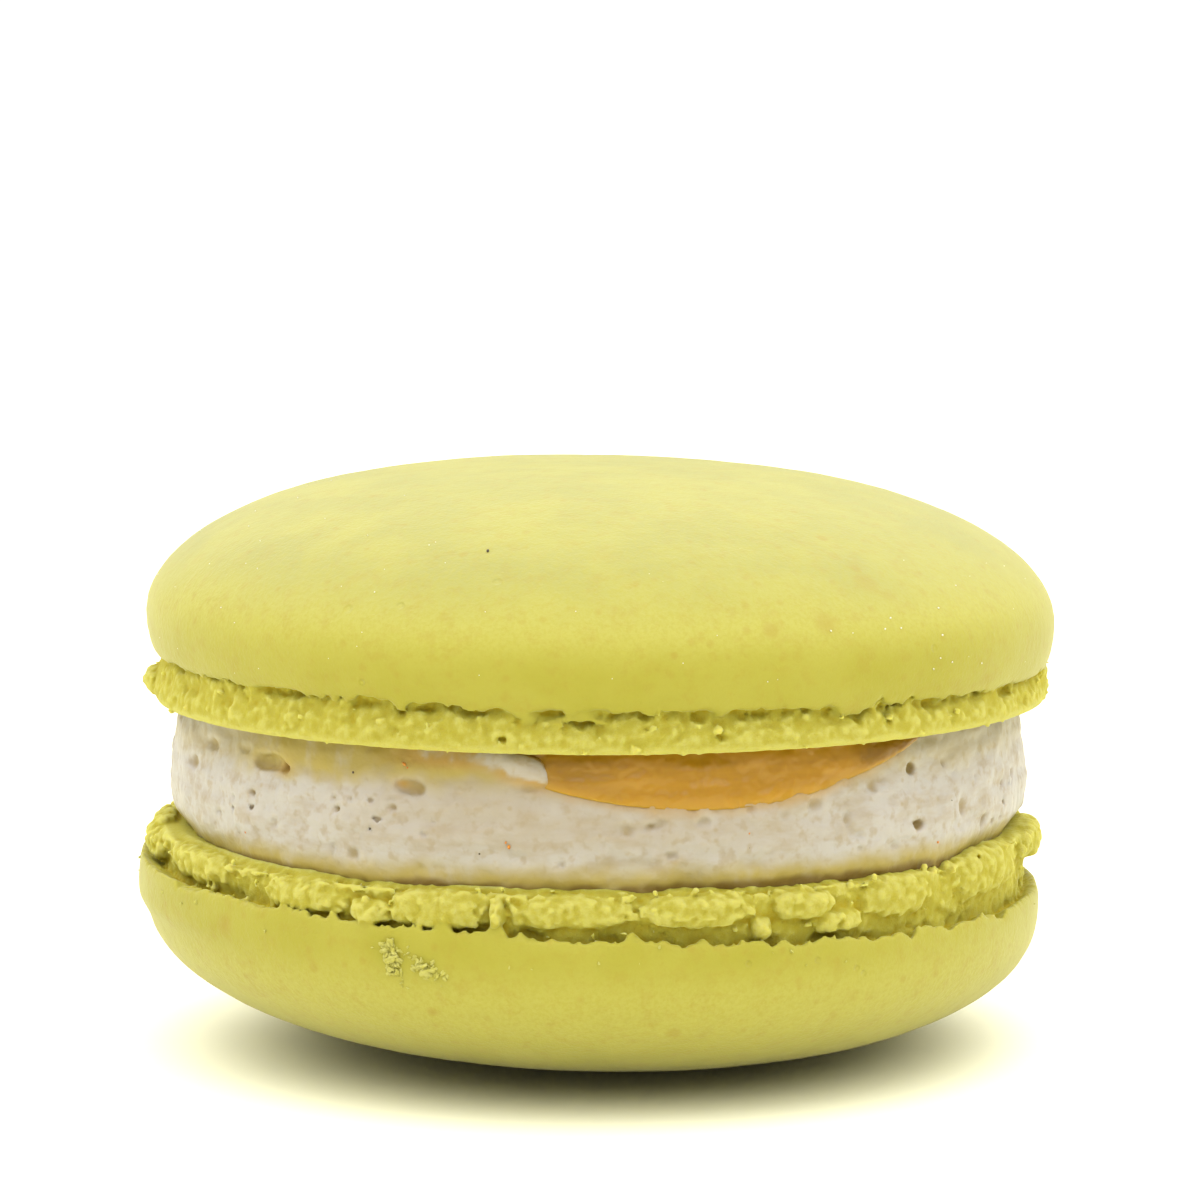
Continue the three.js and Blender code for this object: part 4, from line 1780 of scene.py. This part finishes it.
@dataclass(frozen=True)
class Curd:
    """The curd that fills the bowl and breaks out at the front."""

    name: str = "fruit_curd_pool"
    node: str = "fruit_curd"
    axis: tuple[float, float] = (-0.156, 0.0137)
    bowl: Bowl = Bowl()
    cream: Cream = Cream()
    inner_radius: float = 21.05  # of the pool's floor at the face
    stand_out: float = 0.01  # of the face, from the cream's side
    bulge: float = 0.1
    spill: float = 0.1  # how far the face's foot is sunk into the bowl's edge
    left_end: float = -8.5  # bearing at which the face goes in behind the cream's fold
    points_round: int = 900
    floor_rows: int = 26
    face_rows: int = 28
    top_rows: int = 8
    seed: int = 71

    RIM_SHARE = 0.985  # the share of the way to the bowl's rim at which the curd ends
    PAST_RIM = 2.0  # a share that is well past the rim

    def reach(self, angles: Array, limit: float) -> Array:
        """How far the curd reaches from the bowl's middle, before its face or a share of the rim.

        Args:
            angles: Directions from the bowl's middle.
            limit: The share of the way to the rim at which the curd ends.

        Returns:
            The distances, in mm.
        """
        middle_x, middle_y = self.bowl.middle()
        turned = angles - math.radians(self.bowl.bearing - 90)
        rim = limit / np.hypot(
            np.cos(turned) / self.bowl.half_length, np.sin(turned) / self.bowl.half_width
        )
        along = middle_x * np.cos(angles) + middle_y * np.sin(angles)
        gap = self.inner_radius**2 - middle_x**2 - middle_y**2
        return np.minimum(rim, np.sqrt(along**2 + gap) - along)

    def face_row(self, lip: Array, openness: Array, share: float) -> Array:
        """One row of points of the curd's outer wall.

        Args:
            lip: Places of the floor's edge.
            openness: 1 where the wall shows at the macaron's side, and 0 where it is in the bowl.
            share: The row's share of the way up the wall.

        Returns:
            The points.
        """
        spill = self.spill * openness * (1 - share)
        row = lip.copy()
        row[:, 2] += (self.bowl.top - lip[:, 2]) * share - spill
        face = self.cream.side_radius(row) + self.stand_out
        swell = 4 * share * (1 - share)
        face = face + swell * (self.bulge + 0.04 * Noise(self.seed)(row, (2.5, 2.5, 0.8)))
        shown = openness * ease((bearings(row[:, 0], row[:, 1]) - self.left_end) / 2.5)
        out = face / np.hypot(row[:, 0], row[:, 1])
        row[:, :2] *= (1 + (out - 1) * shown)[:, None]
        return row

    def surface(self) -> tuple[Surface, Array]:
        """The closed surface of the curd.

        Returns:
            The surface about the filling's axis, and each point's share of the way up the face.
        """
        middle = np.array((*self.bowl.middle(), 0.0))
        angles = even_turns(self.points_round)
        reach = self.reach(angles, self.RIM_SHARE)
        openness = ease((reach - self.reach(angles, self.PAST_RIM) + 0.6) / 0.6)
        rows: list[tuple[Array, float]] = []
        for row in range(1, self.floor_rows + 1):
            place = middle + circular(angles, reach * row / self.floor_rows, 0.0)
            place[:, 2] = self.bowl.floor(place[:, 0], place[:, 1]) + 0.02
            rows.append((place, 0.0))
        lip = rows[-1][0]
        for row in range(self.face_rows + 1):
            share = row / self.face_rows
            rows.append((self.face_row(lip, openness, share), share))
        for row in range(1, self.top_rows):
            away = reach * (1 - row / self.top_rows)
            rows.append((middle + circular(angles, away, self.bowl.top), 1.0))
        surface = Surface()
        surface.add(middle[None] + (0, 0, float(self.bowl.floor(*middle[:2]))))
        up_face = [0.0]
        last = None
        for points, share in rows:
            ids = surface.add(points)
            up_face += [share] * len(ids)
            if last is None:
                surface.faces.append(
                    np.stack((np.roll(ids, -1), ids, np.zeros_like(ids)), axis=1)
                )
            else:
                square = (last, np.roll(last, -1), np.roll(ids, -1), ids)
                surface.faces.append(np.stack(square, axis=1))
            last = ids
        tip = surface.add(middle[None] + (0, 0, self.bowl.top))
        up_face += [1.0]
        surface.faces.append(
            np.stack((last, np.roll(last, -1), np.full_like(last, tip[0])), axis=1)
        )
        return surface, np.array(up_face)

    def build(self, finish: CurdFinish) -> bpy.types.Object:
        """Builds the curd and dresses it.

        Args:
            finish: Its finish.

        Returns:
            The piece.
        """
        surface, up_face = self.surface()
        bearing = bearings(surface.points[:, 0], surface.points[:, 1])
        # Painted light on the face's lower band.
        lit_lower_band = ease((0.3 - up_face) / 0.3)
        # deep: painted shade at the left end under the fold and in the right end's pocket.
        deep = ease((bearing - 33) / 5) * 0.9 + ease((6 - bearing) / 9) * 0.5
        surface.points = surface.points + (self.axis[0], self.axis[1], 0)
        piece = surface.mesh(self.name, {"lit_lower_band": lit_lower_band, "deep": deep * ease(up_face / 0.3)})
        dress(piece, finish.material("fruit_curd_amber"))
        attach(piece, "root")
        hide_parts(self.node)
        LOG.info("%s: %d faces", self.name, len(piece.data.polygons))
        return piece


# ---- Loose bits ----------------------------------------------------------------------------------


@dataclass(frozen=True)
class Bits:
    """Small irregular bits of one kind, as one piece."""

    name: str
    slot: str
    spots: tuple[tuple[tuple[float, float, float], float], ...]  # place and half size
    roughness: float
    flatness: float
    detail: int
    seed: int

    def build(self, finish: PlainFinish) -> bpy.types.Object:
        """Builds the bits and dresses them.

        Args:
            finish: Their finish.

        Returns:
            The piece.
        """
        model = bmesh.new()
        bmesh.ops.create_icosphere(model, subdivisions=self.detail, radius=1.0)
        ball = np.array([tuple(vertex.co) for vertex in model.verts])
        faces = np.array([[vertex.index for vertex in face.verts] for face in model.faces])
        model.free()
        noise = Noise(self.seed)
        draw = np.random.default_rng(self.seed)
        surface = Surface()
        for number, (place, size) in enumerate(self.spots):
            axes = np.linalg.qr(draw.normal(size=(3, 3)))[0]
            stretch = np.array((1.0, draw.uniform(0.6, 0.95), self.flatness))
            swell = 1 + self.roughness * noise.lumps(ball + 7.3 * number, ((1.1, 1.0), (0.5, 0.5)))
            bit = (ball * swell[:, None] * stretch) @ axes
            ids = surface.add(np.array(place) + size * bit)
            surface.faces.append(faces + ids[0])
        piece = surface.mesh(self.name, {})
        dress(piece, finish.material(self.name + "_finish"))
        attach(piece, "root")
        LOG.info("%s: %d bits", self.name, len(self.spots))
        return piece


@dataclass(frozen=True)
class Sprinkling:
    """Where the loose bits lie."""

    upper: Shell
    lower: Shell
    strays: int = 46  # crumbs away from the cluster
    crystals: int = 150  # besides the ones with a place of their own
    seed: int = 5

    def on_cap(self, shell: Shell, bearing: float, height: float, out: float) -> tuple:
        """A place on a shell's cap.

        Args:
            shell: The shell.
            bearing: Its bearing.
            height: Its height in the macaron's frame.
            out: How far it stands off the skin, in mm.

        Returns:
            The place in the macaron's frame.
        """
        angle = shell.angle_of(bearing)
        level = shell.side.value * (height - shell.flat_height)
        across = shell.radius * math.cos(angle)
        radius = float(shell.skin_radius(np.array(level), np.array(across))) + out
        point = circular(np.array([angle]), radius, level)
        return tuple(shell.placed(point)[0])

    def crumbs(self) -> Bits:
        """Crumbs of the foot that fell on the lower cap."""
        draw = np.random.default_rng(self.seed)
        cluster = (
            (-25.4, 8.6, 0.2), (-24.9, 8.35, 0.3), (-24.3, 8.75, 0.24), (-24.5, 8.0, 0.33),
            (-24.0, 8.3, 0.2), (-23.7, 7.75, 0.25), (-24.4, 7.5, 0.2), (-23.6, 7.35, 0.16),
            (-23.2, 6.85, 0.09), (-21.0, 7.95, 0.16), (-20.5, 7.7, 0.24), (-19.8, 7.45, 0.27),
            (-19.0, 7.6, 0.2), (-18.5, 7.35, 0.16), (-22.2, 8.3, 0.1), (-17.6, 7.2, 0.1),
        )
        spots = [
            (self.on_cap(self.lower, bearing, height, 0.2 * size), size)
            for bearing, height, size in cluster
        ]
        for bearing, height, size in cluster * 5:
            bearing, height = bearing + draw.normal() * 0.4, height + draw.normal() * 0.2
            size = size * draw.uniform(0.4, 0.9)
            spots.append((self.on_cap(self.lower, bearing, height, -0.1 * size), size))
        for _ in range(self.strays):
            bearing = draw.uniform(-180, 180)
            size = draw.uniform(0.04, 0.11)
            level = self.lower.nominal_edge(22 * math.sin(math.radians(bearing)))
            height = self.lower.flat_height - level - draw.uniform(0.1, 1.6)
            spots.append((self.on_cap(self.lower, bearing, height, 0.3 * size), size))
        shape = {"roughness": 0.75, "flatness": 0.45, "detail": 3}
        return Bits("fallen_crumbs", "almond_shell", tuple(spots), **shape, seed=17)

    def sugar(self) -> Bits:
        """Sugar crystals that glint on the upper cap."""
        draw = np.random.default_rng(self.seed + 1)
        named = (
            (28.3, 23.31), (37.5, 23.66), (36.1, 23.21), (38.6, 23.18), (45.1, 22.66),
            (44.3, 21.6), (46.5, 21.33), (52.5, 21.05), (43.2, 21.12), (46.3, 23.86),
        )
        spots = [(self.on_cap(self.upper, *place, 0.02), 0.06) for place in named]
        for _ in range(self.crystals):
            bearing = draw.uniform(-180, 180)
            height = draw.uniform(20.5, 28.8)
            size = draw.uniform(0.025, 0.045)
            spots.append((self.on_cap(self.upper, bearing, height, 0.01), size))
        shape = {"roughness": 0.1, "flatness": 0.7, "detail": 1}
        return Bits("sugar_crystals", "almond_shell", tuple(spots), **shape, seed=19)

    def dark_specks(self) -> Bits:
        """Dark specks: one on the upper cap and a few in the cream."""
        on_cap = (self.on_cap(self.upper, -16.5, 26.85, 0.0), 0.085)
        in_cream = (
            (-14.7, 12.97, 0.06), (-32.4, 16.38, 0.07), (19.1, 13.2, 0.03), (52.0, 14.3, 0.04),
        )
        spots = (on_cap,) + self.in_cream(in_cream)
        shape = {"roughness": 0.2, "flatness": 0.7, "detail": 2}
        return Bits("dark_specks", "almond_shell", spots, **shape, seed=23)

    def zest(self) -> Bits:
        """Orange specks of zest in the cream."""
        in_cream = (
            (-25.1, 16.96, 0.13), (-24.6, 16.8, 0.07), (-10.9, 13.35, 0.14), (-11.3, 13.55, 0.07),
            (19.1, 13.88, 0.06), (-51.3, 12.79, 0.07), (49.0, 12.4, 0.07), (112.0, 14.6, 0.12),
            (160.0, 13.2, 0.1), (-130.0, 15.1, 0.12), (-95.0, 13.4, 0.08),
        )
        shape = {"roughness": 0.3, "flatness": 0.6, "detail": 2}
        return Bits("zest_specks", "fruit_curd", self.in_cream(in_cream), **shape, seed=29)

    @staticmethod
    def in_cream(spots: Sequence[tuple[float, float, float]]) -> tuple:
        """Places on the cream's side, from bearing, height and half size."""
        cream = Cream()
        placed = []
        for bearing, height, size in spots:
            angle = np.array([cream.angle_of(bearing)])
            radius = cream.side_radius(circular(angle, 21.6, height))
            point = circular(angle, radius, height)[0]
            place = (point[0] + cream.axis[0], point[1] + cream.axis[1], point[2])
            placed.append((place, size))
        return tuple(placed)


# ---- Studio --------------------------------------------------------------------------------------


@dataclass(frozen=True)
class Softbox:
    """A square lamp that looks at the macaron. Lengths are metres."""

    name: str
    place: tuple[float, float, float]
    size: float
    watts: float

    AIM = (0, 0, 0.015)  # the macaron's middle

    def build(self) -> None:
        """Hangs the lamp."""
        data = bpy.data.lights.new(self.name, "AREA")
        data.shape = "SQUARE"
        data.size = self.size
        data.energy = self.watts
        lamp = bpy.data.objects.new(self.name, data)
        lamp.location = self.place
        away = np.array(self.place) - self.AIM
        flat = math.hypot(away[0], away[1])
        lamp.rotation_euler = (math.atan2(flat, away[2]), 0, math.atan2(away[0], -away[1]))
        bpy.context.scene.collection.objects.link(lamp)


@dataclass(frozen=True)
class Studio:
    """A pale floor, bright surroundings, soft lamps and the camera. Lengths are metres."""

    floor_size: float = 6.0
    floor_tones: tuple[Colour, Colour] = ((0.9, 0.885, 0.68, 1), (0.915, 0.9, 0.7, 1))
    fill_light: float = 0.25
    horizon_light: float = 0.85
    horizon_fade: tuple[float, float] = (0.12, 0.03)  # how far up it is gone, and still whole
    sky_light: float = 2.08
    sky_rise: tuple[float, float] = (0.2, 0.6)  # how far up it sets in, and is whole
    side_light: float = 0.6  # how much brighter the sky is at the left and right
    camera_place: tuple[float, float, float] = (-0.000015, -0.230, 0.0486)
    camera_dip: float = 0.113  # radians below level
    lens: float = 136.5
    lamps: tuple[Softbox, ...] = (
        Softbox("softbox_overhead", (0.0, -0.04, 0.42), 0.35, 0.15),
        Softbox("softbox_over_camera", (0.0, -0.4, 0.4), 0.45, 0.6),
    )

    def build(self) -> None:
        """Sets up the studio."""
        self._floor()
        self._world()
        self._camera()
        for lamp in self.lamps:
            lamp.build()
        settings = bpy.context.scene.view_settings
        settings.view_transform = "Standard"
        settings.look = "None"
        LOG.info("studio: %d lamps", len(self.lamps))

    def _floor(self) -> None:
        """Lays the floor."""
        half = self.floor_size / 2
        mesh = bpy.data.meshes.new("studio_floor")
        corners = [(-half, -half, 0), (half, -half, 0), (half, half, 0), (-half, half, 0)]
        mesh.from_pydata(corners, [], [(0, 1, 2, 3)])
        floor = bpy.data.objects.new("studio_floor", mesh)
        bpy.context.scene.collection.objects.link(floor)
        bench = Bench.for_material("studio_floor_white")
        paint = bench.mix(bench.noise(40.0).between(0.3, 0.7), *self.floor_tones)
        dress(floor, bench.finish(bench.principled({"Base Color": paint, "Roughness": 0.7})))

    def _world(self) -> None:
        """Makes the surroundings: a wide soft sky overhead, and a bright band at the horizon."""
        world = bpy.data.worlds.new("studio_surroundings")
        bench = Bench(world)
        direction = bench.node("ShaderNodeTexCoord").outputs["Generated"]
        parts = bench.node("ShaderNodeSeparateXYZ", None, {0: direction})
        up = Signal(bench, parts.outputs["Z"])
        across = Signal(bench, parts.outputs["X"])
        sideways = (across * across) ** 0.5
        strength = self.fill_light + self.horizon_light * up.between(*self.horizon_fade)
        sky = self.sky_light * up.between(*self.sky_rise)
        strength = strength + sky * (1.0 + self.side_light * sideways)
        inputs = {"Color": (1.0, 1.0, 1.0, 1.0), "Strength": strength}
        shader = bench.node("ShaderNodeBackground", None, inputs)
        bpy.context.scene.world = bench.finish(shader.outputs[0], "World")

    def _camera(self) -> None:
        """Places the camera."""
        data = bpy.data.cameras.new("studio_camera")
        data.lens = self.lens
        data.sensor_width = 36.0
        data.clip_start = 0.01
        camera = bpy.data.objects.new("studio_camera", data)
        camera.location = self.camera_place
        camera.rotation_euler = (math.pi / 2 - self.camera_dip, 0, 0)
        bpy.context.scene.collection.objects.link(camera)
        bpy.context.scene.camera = camera


# ---- Assembly ------------------------------------------------------------------------------------


def upper_finish() -> ShellFinish:
    """The upper shell's finish, with the marks on its front."""
    return ShellFinish(
        blotches=(
            Mark((10.6, -14.1, 27.1), 0.4, 1.0), Mark((12.1, -16.0, 25.8), 0.4, 0.8),
            Mark((12.6, -16.7, 25.3), 0.9, 0.6), Mark((10.5, -19.8, 23.7), 0.8, 0.7),
            Mark((7.9, -21.1, 23.5), 0.6, 0.8), Mark((11.1, -15.6, 26.4), 0.5, 0.6),
            Mark((-6.4, -17.8, 26.8), 0.35, 0.9), Mark((3.4, -22.7, 22.5), 0.25, 0.9),
        ),
        pits=(
            Mark((-11.8, -18.8, 24.2), 0.3), Mark((-9.3, -19.9, 24.5), 0.25),
            Mark((-11.1, -20.0, 20.9), 0.2), Mark((-4.8, -20.1, 25.7), 0.3),
            Mark((15.8, -16.7, 22.1), 0.25),
        ),
    )


def lower_finish() -> ShellFinish:
    """The lower shell's finish, with the marks on its front."""
    return ShellFinish(
        # Painted shade: the lower dome is darker and deeper yellow towards its standing side, over
        # the floor's shadow.
        crown_light_shade=(0.255, 0.234, 0.011, 1),
        blotches=(
            Mark((-17.9, -14.4, 8.4), 0.8, 0.8), Mark((-7.9, -20.8, 5.4), 0.4, 1.0),
            Mark((-13.6, -18.5, 7.1), 0.4, 0.8), Mark((3.4, -21.1, 4.6), 0.5, 0.8),
        ),
        pits=(
            Mark((6.9, -21.5, 7.9), 0.2), Mark((10.2, -20.1, 7.8), 0.2),
            Mark((12.1, -19.0, 7.2), 0.2), Mark((12.4, -18.7, 6.9), 0.2),
        ),
    )


def main() -> None:
    """Builds the macaron and the studio."""
    logging.basicConfig(level=logging.INFO, format="%(message)s")
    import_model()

    upper = upper_shell()
    lower = lower_shell()
    upper.build(upper_finish())
    lower.build(lower_finish())
    Cream().build(CreamFinish())
    Curd().build(CurdFinish())

    crumb = PlainFinish((0.4, 0.375, 0.1, 1), (0.36, 0.33, 0.055, 1), grain=0.3, roughness=0.9)
    crystal = PlainFinish((0.7, 0.7, 0.62, 1), (0.6, 0.58, 0.4, 1), grain=0.1, roughness=0.25)
    speck = PlainFinish((0.03, 0.025, 0.02, 1), (0.1, 0.06, 0.03, 1), grain=0.1, roughness=0.6)
    peel = PlainFinish((0.5, 0.12, 0.01, 1), (0.48, 0.2, 0.02, 1), grain=0.12, roughness=0.4)
    sprinkling = Sprinkling(upper, lower)
    sprinkling.crumbs().build(crumb)
    sprinkling.sugar().build(crystal)
    sprinkling.dark_specks().build(speck)
    sprinkling.zest().build(peel)

    Studio().build()


if __name__ == "__main__":
    main()
